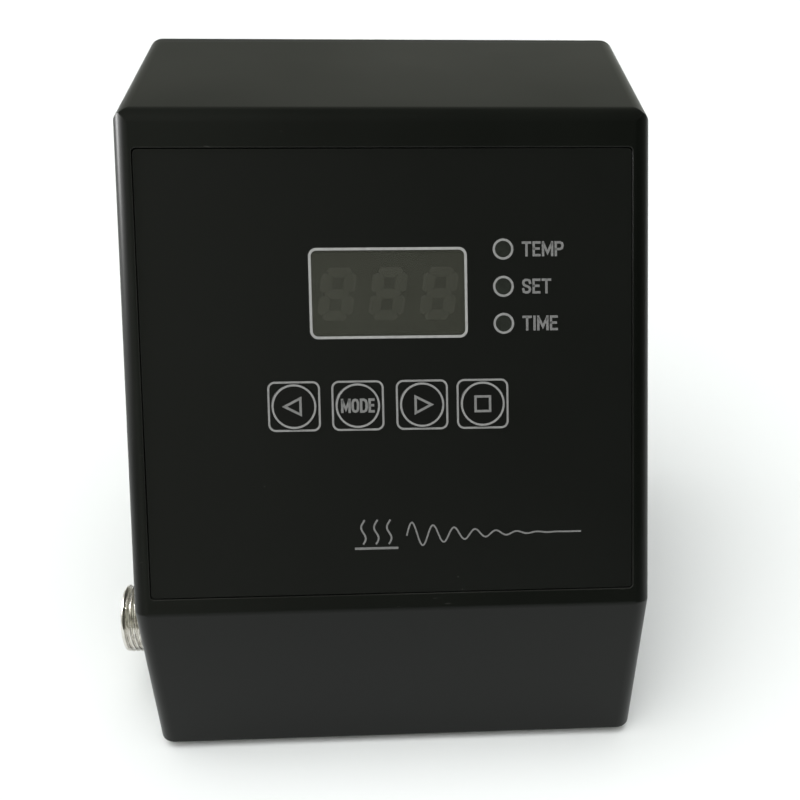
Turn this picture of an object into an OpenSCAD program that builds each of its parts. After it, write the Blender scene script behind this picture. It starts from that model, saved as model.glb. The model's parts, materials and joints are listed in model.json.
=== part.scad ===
// Digital control box of a mug heat press: a sloped-face console with a
// three-digit display, four membrane keys, a heater socket and a mains inlet.
// Millimetres, +Z up. The origin is the centre of the housing's underside,
// -Y is the front and +X is the right-hand side seen from the front.

/* [Housing] */
// Width of the housing, left to right
body_w = 130; // [120:1:160]
// Depth of the housing, front to back, rear panel included
body_d = 122.8; // [114:0.1:150]
// Height of the upright part of the front
nose_h = 47.8; // [45:0.1:60]
// Length of the sloped face, from fold to fold
face_len = 121.7; // [117:0.1:146]
// Angle that the sloped face leans back from upright
face_lean = 32.6; // [28:0.1:36]
// Wall of the moulded housing
wall = 3; // [2.5:0.1:3.6]
// Radius of the long edges at both sides
side_r = 4; // [3:0.1:5]
// Radius of the fold between the sloped face and the top
top_fold_r = 5; // [2:0.5:7]
// Radius of the fold between the sloped face and the nose
nose_fold_r = 2; // [1:0.5:3]
// Thickness of the steel rear panel
rear_t = 2; // [1.5:0.1:3]
// Thickness of the steel base plate
base_t = 1.5; // [1:0.1:2.5]

/* [Face overlay] */
// Rim of the housing left at each side of the overlay's recess
recess_side = 4.65; // [4:0.05:8]
// Rim left above the recess, up to the top fold
recess_top = 8.6; // [5:0.1:10]
// Rim left below the recess, down to the nose fold
recess_bottom = 4; // [1:0.1:6]
// Depth of the recess in the sloped face
recess_deep = 1; // [0.8:0.05:1.4]
// Thickness of the printed overlay
overlay_t = 0.8; // [0.5:0.05:0.9]
// Gap all round between the overlay and its recess
overlay_gap = 0.35; // [0.2:0.05:0.6]

/* [Display] */
// Height of the display's centre up the sloped face
display_v = 78.4; // [76:0.1:83]
// Width of the smoked window
window_w = 38.4; // [36:0.1:42]
// Height of the smoked window
window_h = 21.5; // [20:0.1:24]
// Corner radius of the smoked window
window_r = 1.4; // [0.5:0.1:3]
// Width of the display module's case
module_w = 37.6; // [36:0.1:38]
// Height of the display module's case
module_h = 19; // [18:0.1:20]
// Thickness of the display module's case
module_t = 8; // [7.5:0.1:8]
// Height of one digit
digit_h = 12.7; // [12:0.1:14]
// Spacing of the digits
digit_pitch = 12.5; // [12:0.1:12.8]
// Slant of the digits, in degrees
digit_slant = 8; // [0:1:10]

/* [Indicators] */
// Distance of the indicators right of the centre line
indicator_u = 28.3; // [27:0.1:32]
// Spacing of the three indicators
indicator_pitch = 9; // [8:0.1:10]
// Diameter of an indicator's lens
indicator_d = 4.2; // [3:0.1:4.6]

/* [Keys] */
// Height of the row of keys up the sloped face
key_v = 51.15; // [49:0.05:55]
// Places of the left, mode, right and stop keys across the face
key_us = [-23.6, -8, 7.8, 22.8];
// Diameter of a key's dome
key_d = 11.3; // [9:0.1:11.8]
// Height of a dome above the overlay
key_proud = 0.45; // [0.3:0.05:0.8]
// Travel of a key
key_travel = 0.4; // [0.25:0.05:0.4]
// Gap round a dome
key_gap = 0.12; // [0.08:0.01:0.2]

/* [Heater socket] */
// Distance of the socket's centre behind the nose
socket_back = 29.3; // [26:0.1:32]
// Height of the socket's centre
socket_up = 19.3; // [18:0.1:28]
// Major diameter of the coupling thread
socket_d = 19; // [17:0.5:20]
// How far the socket stands out of the side wall
socket_out = 10.6; // [8:0.1:12]
// Pitch of the coupling thread
thread_pitch = 1.25; // [1:0.05:1.5]

/* [Mains inlet] */
// Distance of the inlet right of the centre line
inlet_x = 34; // [30:1:36]
// Height of the inlet's centre
inlet_z = 40; // [36:1:46]
// Width of the inlet's case
inlet_w = 27; // [26:0.1:28]
// Height of the inlet's case
inlet_h = 47; // [46:0.1:48]
// Depth of the inlet's case behind the rear panel
inlet_deep = 28; // [27:0.5:30]
// Full swing of the power rocker, in degrees
rocker_swing = 16; // [10:1:18]

/* [Feet] */
// Height of a rubber foot
foot_h = 3; // [2:0.5:5]
// Diameter of a rubber foot
foot_d = 12; // [10:0.5:14]

/* [Hidden] */
$fn = 64;

// Cuts run past the faces they open by this much
past = 1;
// Clearance round screws in their pilot holes, and round pins in their seats
pin_gap = 0.05;
// Clearance between flat parts that slide into one another
slot_gap = 0.3;

// --- the housing's own places ---
face_rise = face_len * cos(face_lean);
face_run = face_len * sin(face_lean);
body_h = nose_h + face_rise;
front_y = -body_d / 2;
back_y = body_d / 2;
hood_back_y = back_y - rear_t;
inner_x = body_w / 2 - wall;
inner_front_y = front_y + wall;

recess_w = body_w - 2 * recess_side;
recess_h = face_len - recess_top - recess_bottom;
recess_v = recess_bottom + recess_h / 2;
overlay_w = recess_w - 2 * overlay_gap;
overlay_h = recess_h - 2 * overlay_gap;
overlay_r = 1;
overlay_front = recess_deep - overlay_t;

// --- screw bosses ---
boss_r = 3.6;
// A boss stands this far from a wall, so that the two merge
boss_off = boss_r - 0.6;
pilot_r = 1.45;
screw_r = pilot_r - pin_gap;
screw_head_r = 2.8;
screw_head_h = 1.8;
boss_len = 14;
boss_floor = 3;
screw_bite = 9;
base_boss_x = inner_x - boss_off;
base_boss_front_y = inner_front_y + boss_off;
base_boss_back_y = hood_back_y - 22;
rear_boss_low_z = base_t + boss_r + 3;
rear_boss_high_z = body_h - wall - boss_off;

// --- control board, parallel to the sloped face, on bosses behind it ---
board_t = 1.6;
board_face = recess_deep + overlay_t + module_t - 0.4;
board_back = board_face + board_t;
board_w = 100;
board_low_v = key_v - 13;
board_high_v = display_v + 21;
board_h = board_high_v - board_low_v;
board_v = (board_high_v + board_low_v) / 2;
board_hole_u = board_w / 2 - 4;
board_hole_v = board_h / 2 - 4;
board_corner_r = 2;
board_screw_head_h = 1.6;
board_screw_len = 5;
face_boss_r = 3.2;
chip_u = 14;
chip_v = board_v + 4;
chip_w = 18;
chip_d = 7.5;
chip_pins = 14;
chip_pin_pitch = 1.27;
buzzer_u = -18;
buzzer_v = board_v + 8;
buzzer_r = 6;
buzzer_h = 9.5;
digit_bar_t = 1.7;
digit_bar_gap = 0.3;
digit_pocket = 1.2;

// --- keys and switches ---
key_stem_r = 1.75;
key_hole_r = 2.6;
dome_front = overlay_front - key_proud;
dome_back = recess_deep - key_travel - 0.05;
stem_end = dome_back + 0.7;
switch_size = 6;
switch_t = 3.6;
switch_front = board_face - switch_t;
plunger_end = board_face - 1.6;

// --- indicators ---
indicator_vs = [for (i = [1, 0, -1]) display_v + 1.4 + i * indicator_pitch];
led_r = 2.5;
led_hole_r = led_r + 0.15;
led_front = recess_deep + 0.4;
led_rim = 0.4;

// --- base plate and feet ---
base_w = 2 * (inner_x - slot_gap);
base_front_y = inner_front_y + slot_gap;
base_back_y = hood_back_y - slot_gap;
foot_x = body_w / 2 - 16;
foot_front_y = front_y + 22;
foot_back_y = back_y - 18;
foot_stem_r = 2;
mount_spacing_x = 70;
mount_spacing_y = 80;
mount_hole_r = 1.65;
vent_w = 3;
vent_pitch = 9;
base_vent_len = 22;
base_vents = 6;
rear_vent_len = 20;
rear_vent_rows = 2;
rear_vent_top = 30;
rear_vent_row_pitch = 26;

// --- power board, flat above the base plate ---
standoff_h = 6;
power_z = base_t + standoff_h;
power_top = power_z + board_t;
power_w = 60;
power_d = 86;
power_x = -14;
power_y = 3;
power_hole_x = power_w / 2 - 4;
power_hole_y = power_d / 2 - 4;

// --- what stands on the power board ---
core_w = 36;
core_t = 13;
core_h = 30;
core_leg = 6;
core_mid = 8;
core_window_w = (core_w - 2 * core_leg - core_mid) / 2;
core_x = power_x - power_w / 2 + core_w / 2 + 2;
core_y = power_y + power_d / 2 - 16;
coil_play = 0.3;
coil_w = core_w - 2 * core_leg - 2 * coil_play;
coil_d = 26;
coil_h = core_h - 2 * core_leg - 2 * coil_play;
coil_r = 4;
sink_plate_t = 2.4;
sink_fin_t = 1.6;
sink_fins = 6;
sink_reach = 10;
sink_d = 28;
sink_h = 28;
sink_x = power_x + power_w / 2 - 12;
sink_y = power_y + power_d / 2 - 22;
triac_w = 10;
triac_t = 4.5;
triac_h = 9;
triac_z = 4;
triac_tab_t = 1.3;
triac_tab_h = 7.2;
triac_hole_z = triac_z + 12.2;
triac_face_x = sink_x - sink_plate_t / 2;
triac_lead_pitch = 2.54;
cap_r = 5;
cap_h = 16;
block_x = power_x + 18;
block_y = power_y - 22;
block_w = 9;
block_pitch = 5.08;
block_poles = 5;
block_h = 12;
block_hole_z = 5;
block_screw_r = 1.8;
block_screw_deep = 5;

// --- ribbon cable and its two headers ---
header_w = 20;
header_d = 9;
header_h = 9;
header_wall = 1.2;
header_floor = 2.2;
header_play = 2 * header_wall + 0.6;
header_x = -30;
control_header_v = board_low_v + 10;
power_header_y = power_y - power_d / 2 + 22;
plug_h = 11;
cable_w = 12.7;
cable_t = 1;

// --- heater socket ---
socket_y = front_y + socket_back;
socket_x = -body_w / 2;
socket_flange_r = socket_d / 2 + 2;
socket_flange_t = 2.4;
socket_rear_r = socket_d / 2 - 0.5;
socket_bore_r = socket_d / 2 - 1.9;
socket_tail = wall + 9;
socket_hole_r = socket_rear_r + 0.1;
insert_front = 4.6;
insert_tail = socket_tail - 1;
pin_r = 1;
pin_ring_r = 4.6;
pin_back = 4;
washer_t = 1;
washer_r = socket_d / 2 + 2;
nut_t = 3.5;
nut_flats = socket_d + 5;
wire_d = 2;

// --- mains inlet ---
inlet_flange_t = 2.5;
inlet_flange_w = 31;
inlet_flange_h = 50;
ear_w = 50;
ear_h = 13;
ear_screw_x = 20;
aperture_w = 24.4;
aperture_h = 17;
aperture_z = 12.5;
aperture_deep = 17;
aperture_cut = 4.5;
blade_off = 7;
blade_low = -2.2;
blade_high = 2.2;
blade_w = 2;
blade_h = 4;
blade_back = 8;
drawer_w = 21;
drawer_h = 6.6;
drawer_z = -1.4;
drawer_deep = 24;
drawer_lip = 1.2;
rocker_w = 21;
rocker_h = 12.2;
rocker_z = -14.6;
rocker_pit_w = 22.6;
rocker_pit_h = 12.8;
rocker_pit_deep = 11;
rocker_pivot_y = 3.4;
rocker_stub_r = 1.5;
rocker_stub = 1;
fuse_r = 2.6;
fuse_len = 20;
fuse_cap = 5;
fuse_in = 2.4;
ear_t_left = 1.4;

// A wire's end is soldered this far clear of the pin or blade it meets
solder_gap = 0.15;

// ---------------------------------------------------------------- helpers

function unit(v) = v / norm(v);

// Places a child on the sloped face: u across, v up from the nose fold,
// deep into the housing. A child's own +Z points out of the face.
module on_face(u = 0, v = 0, deep = 0) {
    translate([0, front_y, nose_h])
        rotate([90 - face_lean, 0, 0])
            translate([u, v, -deep])
                children();
}

// Places a child on the left wall: its own +Z points out to the left.
module on_left_wall(out = 0) {
    translate([socket_x - out, socket_y, socket_up]) rotate([0, -90, 0]) children();
}

// Places a child on the rear panel's outer face: its own +Z points backwards,
// +X to the right seen from the front and +Y up.
module on_rear(x = 0, z = 0, out = 0) {
    translate([x, back_y + out, z]) rotate([90, 0, 0]) mirror([0, 0, 1]) children();
}

module rounded_rect(w, h, r) {
    square([w - 2 * r, h], center = true);
    square([w, h - 2 * r], center = true);
    for (x = [-1, 1])
        for (y = [-1, 1])
            translate([x * (w / 2 - r), y * (h / 2 - r)]) circle(r);
}

module rounded_plate(w, h, t, r) {
    linear_extrude(t) rounded_rect(w, h, r);
}

module centred_box(w, d, h) {
    translate([-w / 2, -d / 2, 0]) cube([w, d, h]);
}

// A polygon whose corners are rounded with true arcs: each corner is cut
// back to its two tangent points, and a circle fills the arc.
module rounded_outline(points, radii) {
    n = len(points);
    corners = [
        for (i = [0 : n - 1])
            let (
                here = points[i],
                back = unit(points[(i + n - 1) % n] - here),
                ahead = unit(points[(i + 1) % n] - here),
                half = acos(back * ahead) / 2,
                reach = radii[i] / tan(half)
            )
            [here + back * reach, here + ahead * reach,
             here + unit(back + ahead) * radii[i] / sin(half)]
    ];
    polygon([for (c = corners) each [c[0], c[1]]]);
    for (i = [0 : n - 1])
        if (radii[i] > 0) translate(corners[i][2]) circle(radii[i], $fn = 96);
}

module along_x(length) {
    translate([-length / 2, 0, 0]) rotate([90, 0, 90]) linear_extrude(length) children();
}

module along_y(from, to) {
    translate([0, to, 0]) rotate([90, 0, 0]) linear_extrude(to - from) children();
}

// Side view of the housing, shrunk inwards by inset
module side_outline(inset, low_z, far_y) {
    points = [
        [front_y + inset, low_z],
        [front_y + inset, nose_h - inset * tan(face_lean / 2)],
        [front_y + face_run + inset * tan((90 - face_lean) / 2), body_h - inset],
        [far_y, body_h - inset],
        [far_y, low_z]
    ];
    nose_r = max(nose_fold_r - inset, 0);
    top_r = max(top_fold_r - inset, 0);
    rounded_outline(points, [0, nose_r, top_r, 0, 0]);
}

// Front view of the housing, with its two top corners rounded
module front_outline() {
    points = [
        [-body_w / 2, 0], [body_w / 2, 0],
        [body_w / 2, body_h], [-body_w / 2, body_h]
    ];
    rounded_outline(points, [0, 0, side_r, side_r]);
}

// Top view of the housing, with its two front corners rounded
module plan_outline() {
    points = [
        [-body_w / 2, front_y], [body_w / 2, front_y],
        [body_w / 2, back_y], [-body_w / 2, back_y]
    ];
    rounded_outline(points, [side_r, side_r, 0, 0]);
}

module screw(length, head_r = screw_head_r, head_h = screw_head_h) {
    // Head above z = 0, shank below, with a cross in the head
    difference() {
        union() {
            cylinder(r1 = head_r, r2 = head_r * 0.82, h = head_h);
            translate([0, 0, -length]) cylinder(r = screw_r, h = length + 0.2);
        }
        translate([0, 0, head_h - 0.7])
            for (turn = [0, 90])
                rotate(turn) centred_box(head_r * 1.1, 0.7, past);
    }
}

function square_on(v) = [-v[1], v[0]];

// A flat strip of even thickness along a list of points, with mitred bends
module strip(route, t) {
    last = len(route) - 1;
    sides = [
        for (i = [0 : last])
            let (
                before = unit(route[max(i, 1)] - route[max(i, 1) - 1]),
                after = unit(route[min(i, last - 1) + 1] - route[min(i, last - 1)]),
                across = square_on(unit(before + after))
            )
            across * t / 2 / (across * square_on(before))
    ];
    polygon([
        for (i = [0 : last]) route[i] + sides[i],
        for (i = [last : -1 : 0]) route[i] - sides[i]
    ]);
}

// A round wire that follows a list of points on a smooth curve
module wire(points, d, steps = 5, sides = 8) {
    n = len(points);
    line = [
        for (i = [0 : n - 2])
            for (k = [0 : steps - 1])
                let (
                    a = points[max(i - 1, 0)],
                    b = points[i],
                    c = points[i + 1],
                    e = points[min(i + 2, n - 1)],
                    s = k / steps
                )
                b + (c - a) / 2 * s + (a - 2.5 * b + 2 * c - e / 2) * s * s
                  + (1.5 * b - a / 2 - 1.5 * c + e / 2) * s * s * s,
        points[n - 1]
    ];
    count = len(line);
    rings = [
        for (i = [0 : count - 1])
            let (
                ahead = unit(line[min(i + 1, count - 1)] - line[max(i - 1, 0)]),
                side = unit(cross(ahead, [0.31, 0.17, 0.93])),
                up = cross(side, ahead)
            )
            for (k = [0 : sides - 1])
                line[i] + d / 2 * (cos(k * 360 / sides) * side + sin(k * 360 / sides) * up)
    ];
    walls = [
        for (i = [0 : count - 2])
            for (k = [0 : sides - 1])
                let (next = (k + 1) % sides)
                [i * sides + k, i * sides + next, (i + 1) * sides + next, (i + 1) * sides + k]
    ];
    low_cap = [for (k = [sides - 1 : -1 : 0]) k];
    high_cap = [for (k = [0 : sides - 1]) (count - 1) * sides + k];
    polyhedron(rings, [low_cap, each walls, high_cap], convexity = 6);
}

// ---------------------------------------------------------------- enclosure

module outer_form() {
    intersection() {
        along_x(body_w) side_outline(0, 0, hood_back_y);
        translate([0, 0, -past]) linear_extrude(body_h + 2 * past) plan_outline();
        along_y(front_y - past, back_y) front_outline();
        translate([0, front_y, nose_h])
            rotate([-face_lean, 0, 0])
                translate([0, -front_y, -2 * nose_h])
                    linear_extrude(3 * nose_h + 2 * face_len)
                        rounded_outline([
                            [-body_w / 2, front_y], [body_w / 2, front_y],
                            [body_w / 2, 3 * body_d], [-body_w / 2, 3 * body_d]
                        ], [side_r, side_r, 0, 0]);
    }
}

module face_boss_places() {
    for (x = [-1, 1])
        for (y = [-1, 1])
            on_face(x * board_hole_u, board_v + y * board_hole_v, board_face) children();
}

module base_boss_places() {
    for (x = [-1, 1])
        for (y = [base_boss_front_y, base_boss_back_y])
            translate([x * base_boss_x, y, base_t]) children();
}

module rear_boss_places() {
    for (x = [-1, 1])
        for (z = [rear_boss_low_z, rear_boss_high_z])
            translate([x * base_boss_x, hood_back_y, z]) rotate([90, 0, 0]) children();
}

module housing() {
    color([0.11, 0.11, 0.105])
    difference() {
        union() {
            difference() {
                outer_form();
                along_x(2 * inner_x) side_outline(wall, -past, hood_back_y + past);
            }
            face_boss_places() cylinder(r = face_boss_r, h = board_face - wall + 0.5);
            base_boss_places() cylinder(r = boss_r, h = boss_len);
            rear_boss_places() cylinder(r = boss_r, h = boss_len);
        }
        face_boss_places() translate([0, 0, -past])
            cylinder(r = pilot_r, h = board_screw_len + 0.5 + past);
        base_boss_places() translate([0, 0, -past])
            cylinder(r = pilot_r, h = boss_len - boss_floor + past);
        rear_boss_places() translate([0, 0, -past])
            cylinder(r = pilot_r, h = boss_len - boss_floor + past);
        on_face(0, recess_v, recess_deep)
            rounded_plate(recess_w, recess_h, recess_deep + past, overlay_r);
        on_face(0, display_v, wall + past)
            centred_box(module_w + 2 * slot_gap, module_h + 2 * slot_gap, wall + past);
        for (v = indicator_vs)
            on_face(indicator_u, v, wall + past) cylinder(r = led_hole_r, h = wall + past);
        for (u = key_us)
            on_face(u, key_v, wall + past) cylinder(r = key_hole_r, h = wall + past);
        on_left_wall(-wall - past) cylinder(r = socket_hole_r, h = wall + 2 * past);
    }
}

module rear_panel() {
    color([0.13, 0.13, 0.13])
    difference() {
        along_y(hood_back_y, back_y) front_outline();
        rear_boss_places() translate([0, 0, -rear_t - past])
            cylinder(r = screw_r + 0.2, h = rear_t + 2 * past);
        on_rear(inlet_x, inlet_z, -rear_t - past)
            rounded_plate(inlet_w + 0.4, inlet_h + 0.4, rear_t + 2 * past, 1);
        for (x = [-1, 1])
            on_rear(inlet_x + x * ear_screw_x, inlet_z, -rear_t - past)
                cylinder(r = pilot_r, h = rear_t + 2 * past);
        for (i = [-3 : 3])
            for (row = [0 : rear_vent_rows - 1])
                on_rear(i * vent_pitch, body_h - rear_vent_top - row * rear_vent_row_pitch,
                        -rear_t - past)
                    rounded_plate(vent_w, rear_vent_len, rear_t + 2 * past, vent_w / 2 - 0.1);
    }
}

module standoff_places() {
    for (x = [-1, 1])
        for (y = [-1, 1])
            translate([power_x + x * power_hole_x, power_y + y * power_hole_y, 0]) children();
}

module foot_places() {
    for (x = [-1, 1])
        for (y = [foot_front_y, foot_back_y])
            translate([x * foot_x, y, 0]) children();
}

module base_plate() {
    color([0.62, 0.63, 0.65])
    difference() {
        translate([-base_w / 2, base_front_y, 0])
            cube([base_w, base_back_y - base_front_y, base_t]);
        base_boss_places() translate([0, 0, -base_t - past])
            cylinder(r = screw_r + 0.2, h = base_t + 2 * past);
        foot_places() translate([0, 0, -past])
            cylinder(r = foot_stem_r + pin_gap, h = base_t + 2 * past);
        standoff_places() translate([0, 0, -past]) cylinder(r = 2.1, h = base_t + 2 * past);
        for (x = [-1, 1])
            for (y = [-1, 1])
                translate([x * mount_spacing_x / 2, y * mount_spacing_y / 2, -past])
                    cylinder(r = mount_hole_r, h = base_t + 2 * past);
        for (i = [0 : base_vents - 1])
            translate([base_w / 2 - base_vent_len,
                       (i - (base_vents - 1) / 2) * vent_pitch - 3.5, -past])
                rounded_plate(base_vent_len, vent_w, base_t + 2 * past, vent_w / 2 - 0.1);
    }
}

module rear_screws() {
    color([0.75, 0.75, 0.76])
    rear_boss_places() translate([0, 0, -rear_t]) rotate([180, 0, 0])
        screw(rear_t + screw_bite);
}

module base_screws() {
    color([0.75, 0.75, 0.76])
    base_boss_places() translate([0, 0, -base_t]) rotate([180, 0, 0])
        screw(base_t + screw_bite);
}

module rubber_feet() {
    color([0.08, 0.08, 0.08])
    foot_places() {
        translate([0, 0, -foot_h]) cylinder(r1 = foot_d / 2 - 1, r2 = foot_d / 2, h = foot_h);
        translate([0, 0, -0.2]) cylinder(r = foot_stem_r, h = base_t + 1.4);
        translate([0, 0, base_t]) cylinder(r1 = foot_stem_r + 0.7, r2 = foot_stem_r, h = 1.6);
    }
}

// ---------------------------------------------------------------- the face

module face_overlay() {
    color([0.105, 0.105, 0.1])
    on_face(0, 0, recess_deep)
    difference() {
        translate([0, recess_v, 0])
            rounded_plate(overlay_w, overlay_h, overlay_t, overlay_r);
        translate([0, display_v, -past])
            rounded_plate(window_w + 0.1, window_h + 0.1, overlay_t + 2 * past, window_r);
        for (v = indicator_vs)
            translate([indicator_u, v, -past])
                cylinder(d = indicator_d + 0.1, h = overlay_t + 2 * past);
        for (u = key_us)
            translate([u, key_v, -past])
                cylinder(r = key_d / 2 + key_gap, h = overlay_t + 2 * past);
    }
}

module display_window() {
    color([0.2, 0.2, 0.18, 0.6])
    on_face(0, display_v, recess_deep)
        rounded_plate(window_w, window_h, overlay_t, window_r);
}

module indicator_lenses() {
    color([0.25, 0.26, 0.27, 0.7])
    for (v = indicator_vs)
        on_face(indicator_u, v, recess_deep) cylinder(d = indicator_d, h = overlay_t);
}

// One membrane key: a shallow dome with a rounded rim and a stem behind it
module key(i) {
    dome_t = dome_back - dome_front;
    rim_r = 0.3;
    color([0.12, 0.12, 0.115])
    on_face(key_us[i], key_v, dome_back) {
        rotate_extrude() {
            square([key_d / 2 - rim_r, dome_t]);
            square([key_d / 2, dome_t - rim_r]);
            translate([key_d / 2 - rim_r, dome_t - rim_r]) circle(rim_r, $fn = 24);
        }
        translate([0, 0, dome_back - stem_end])
            cylinder(r = key_stem_r, h = stem_end - dome_back + 0.1);
    }
}

module key_left() { key(0); }
module key_mode() { key(1); }
module key_right() { key(2); }
module key_stop() { key(3); }

module plunger(i) {
    color([0.3, 0.3, 0.3])
    on_face(key_us[i], key_v, plunger_end) cylinder(r = key_stem_r, h = plunger_end - stem_end);
}

module plunger_left() { plunger(0); }
module plunger_mode() { plunger(1); }
module plunger_right() { plunger(2); }
module plunger_stop() { plunger(3); }

// ---------------------------------------------------------------- control board

module switch_bodies() {
    color([0.16, 0.16, 0.16])
    for (u = key_us)
        on_face(u, key_v, board_face)
        difference() {
            rounded_plate(switch_size, switch_size, switch_t, 0.5);
            translate([0, 0, board_face - plunger_end - key_travel - 0.2])
                cylinder(r = key_stem_r + 0.1, h = switch_t);
        }
}

module control_board() {
    color([0.08, 0.32, 0.16])
    on_face(0, board_v, board_back)
    difference() {
        rounded_plate(board_w, board_h, board_t, board_corner_r);
        for (x = [-1, 1])
            for (y = [-1, 1])
                translate([x * board_hole_u, y * board_hole_v, -past])
                    cylinder(r = screw_r + 0.2, h = board_t + 2 * past);
    }
}

module control_board_screws() {
    color([0.75, 0.75, 0.76])
    face_boss_places() translate([0, 0, -board_t]) rotate([180, 0, 0])
        screw(board_t + board_screw_len, head_h = board_screw_head_h);
}

// The seven bars of one slanted digit; grow widens each bar all round
module digit_bars(grow = 0) {
    bar = digit_bar_t;
    half_w = digit_h * 0.27;
    half_h = (digit_h - bar) / 2;
    bar_across = 2 * half_w - bar - digit_bar_gap;
    bar_up = half_h - bar - digit_bar_gap;
    for (y = [-half_h, 0, half_h])
        translate([y * tan(digit_slant), y]) digit_bar(bar_across + 2 * grow, bar + 2 * grow);
    for (x = [-half_w, half_w])
        for (y = [-half_h / 2, half_h / 2])
            translate([x + y * tan(digit_slant), y])
                rotate(90 - digit_slant) digit_bar(bar_up + 2 * grow, bar + 2 * grow);
}

// A bar with pointed ends
module digit_bar(length, thick) {
    polygon([
        [-length / 2 - thick * 0.35, 0], [-length / 2, thick / 2], [length / 2, thick / 2],
        [length / 2 + thick * 0.35, 0], [length / 2, -thick / 2], [-length / 2, -thick / 2]
    ]);
}

module digit_places() {
    for (i = [-1 : 1])
        translate([i * digit_pitch, 0, 0]) children();
}

module display_module() {
    color([0.22, 0.22, 0.2])
    on_face(0, display_v, board_face)
    difference() {
        rounded_plate(module_w, module_h, module_t, 0.5);
        digit_places() translate([0, 0, module_t - digit_pocket])
            linear_extrude(digit_pocket + past) digit_bars(pin_gap);
    }
}

module display_segments() {
    color([0.32, 0.33, 0.3])
    on_face(0, display_v, board_face - module_t + digit_pocket)
        digit_places() linear_extrude(digit_pocket - 0.1) digit_bars();
}

module indicator_leds() {
    color([0.75, 0.3, 0.25, 0.8])
    for (v = indicator_vs)
        on_face(indicator_u, v, board_face) {
            cylinder(r = led_r + led_rim, h = 1);
            cylinder(r = led_r, h = board_face - led_front - led_r);
            translate([0, 0, board_face - led_front - led_r])
                intersection() {
                    sphere(led_r);
                    cylinder(r = led_r + past, h = led_r + past);
                }
        }
}

module controller_chip() {
    color([0.09, 0.09, 0.09])
    on_face(chip_u, chip_v, board_back) mirror([0, 0, 1]) {
        translate([0, 0, 0.2]) centred_box(chip_w, chip_d, 2.3);
        for (i = [0 : chip_pins - 1])
            for (side = [-1, 1])
                translate([(i - (chip_pins - 1) / 2) * chip_pin_pitch,
                           side * (chip_d / 2 + 0.6), 0]) {
                    centred_box(0.45, 1.4, 0.25);
                    translate([0, -side * 0.45, 0]) centred_box(0.45, 0.5, 1.2);
                }
    }
}

module buzzer() {
    color([0.1, 0.1, 0.1])
    on_face(buzzer_u, buzzer_v, board_back) mirror([0, 0, 1])
    difference() {
        cylinder(r = buzzer_r, h = buzzer_h);
        translate([0, 0, buzzer_h - 1]) cylinder(r = 1, h = 1 + past);
    }
}

// A shrouded header: a box with a slot for the cable's plug
module shrouded_header() {
    difference() {
        centred_box(header_w, header_d, header_h);
        translate([0, 0, header_floor - 0.2])
            centred_box(header_w - 2 * header_wall, header_d - 2 * header_wall, header_h);
    }
}

module control_header() {
    color([0.15, 0.15, 0.16])
    on_face(header_x, control_header_v, board_back) mirror([0, 0, 1]) shrouded_header();
}

// Ribbon cable with a plug at each end; its route lies in one upright plane
module ribbon_cable() {
    inward = [cos(face_lean), -sin(face_lean)];
    up_face = [sin(face_lean), cos(face_lean)];
    start = [front_y, nose_h] + control_header_v * up_face
        + (board_back + header_floor) * inward;
    finish = [power_header_y, power_top + header_floor];
    route = [
        start + (plug_h - 1) * inward,
        start + (plug_h + 5) * inward,
        start + (plug_h + 10) * inward + [0, -4],
        start + (plug_h + 11) * inward + [0, -14],
        finish + [9, plug_h + 25],
        finish + [2, plug_h + 12],
        finish + [0, plug_h + 5],
        finish + [0, plug_h - 1]
    ];
    color([0.55, 0.56, 0.58]) {
        translate([header_x, 0, 0]) along_x(cable_w) strip(route, cable_t);
        on_face(header_x, control_header_v, board_back + header_floor) mirror([0, 0, 1])
            centred_box(header_w - header_play, header_d - header_play, plug_h);
        translate([header_x, power_header_y, power_top + header_floor])
            centred_box(header_w - header_play, header_d - header_play, plug_h);
    }
}

// ---------------------------------------------------------------- power board

module power_board() {
    color([0.1, 0.34, 0.18])
    translate([power_x, power_y, power_z])
    difference() {
        rounded_plate(power_w, power_d, board_t, board_corner_r);
        for (x = [-1, 1])
            for (y = [-1, 1])
                translate([x * power_hole_x, y * power_hole_y, -past])
                    cylinder(r = screw_r + 0.2, h = board_t + 2 * past);
    }
}

module board_standoffs() {
    color([0.72, 0.68, 0.5])
    standoff_places()
    difference() {
        union() {
            translate([0, 0, base_t]) cylinder(r = 3, h = standoff_h, $fn = 6);
            cylinder(r = 2.1 - pin_gap, h = base_t + 0.2);
        }
        translate([0, 0, base_t]) cylinder(r = pilot_r, h = standoff_h + past);
    }
}

module power_board_screws() {
    color([0.75, 0.75, 0.76])
    standoff_places() translate([0, 0, power_top]) screw(board_t + 4.5, head_h = 1.6);
}

module transformer_core() {
    color([0.35, 0.35, 0.36])
    translate([core_x, core_y, power_top])
    difference() {
        centred_box(core_w, core_t, core_h);
        for (x = [-1, 1])
            translate([x * (core_mid + core_window_w) / 2, 0, core_leg])
                centred_box(core_window_w, core_t + 2 * past, core_h - 2 * core_leg);
    }
}

module transformer_coil() {
    color([0.75, 0.62, 0.2])
    translate([core_x, core_y, power_top + core_leg + coil_play])
    difference() {
        rounded_plate(coil_w, coil_d, coil_h, coil_r);
        translate([0, 0, -past])
            centred_box(core_mid + 2 * coil_play, core_t + 2 * coil_play, coil_h + 2 * past);
    }
}

module heat_sink() {
    color([0.72, 0.73, 0.75])
    translate([sink_x, sink_y, power_top])
    difference() {
        union() {
            centred_box(sink_plate_t, sink_d, sink_h);
            for (i = [0 : sink_fins - 1])
                translate([sink_reach / 2,
                           (i / (sink_fins - 1) - 0.5) * (sink_d - sink_fin_t), 0])
                    centred_box(sink_reach, sink_fin_t, sink_h);
        }
        translate([-sink_plate_t, 0, triac_hole_z])
            rotate([0, 90, 0]) cylinder(r = pilot_r, h = 2 * sink_plate_t);
    }
}

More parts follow.
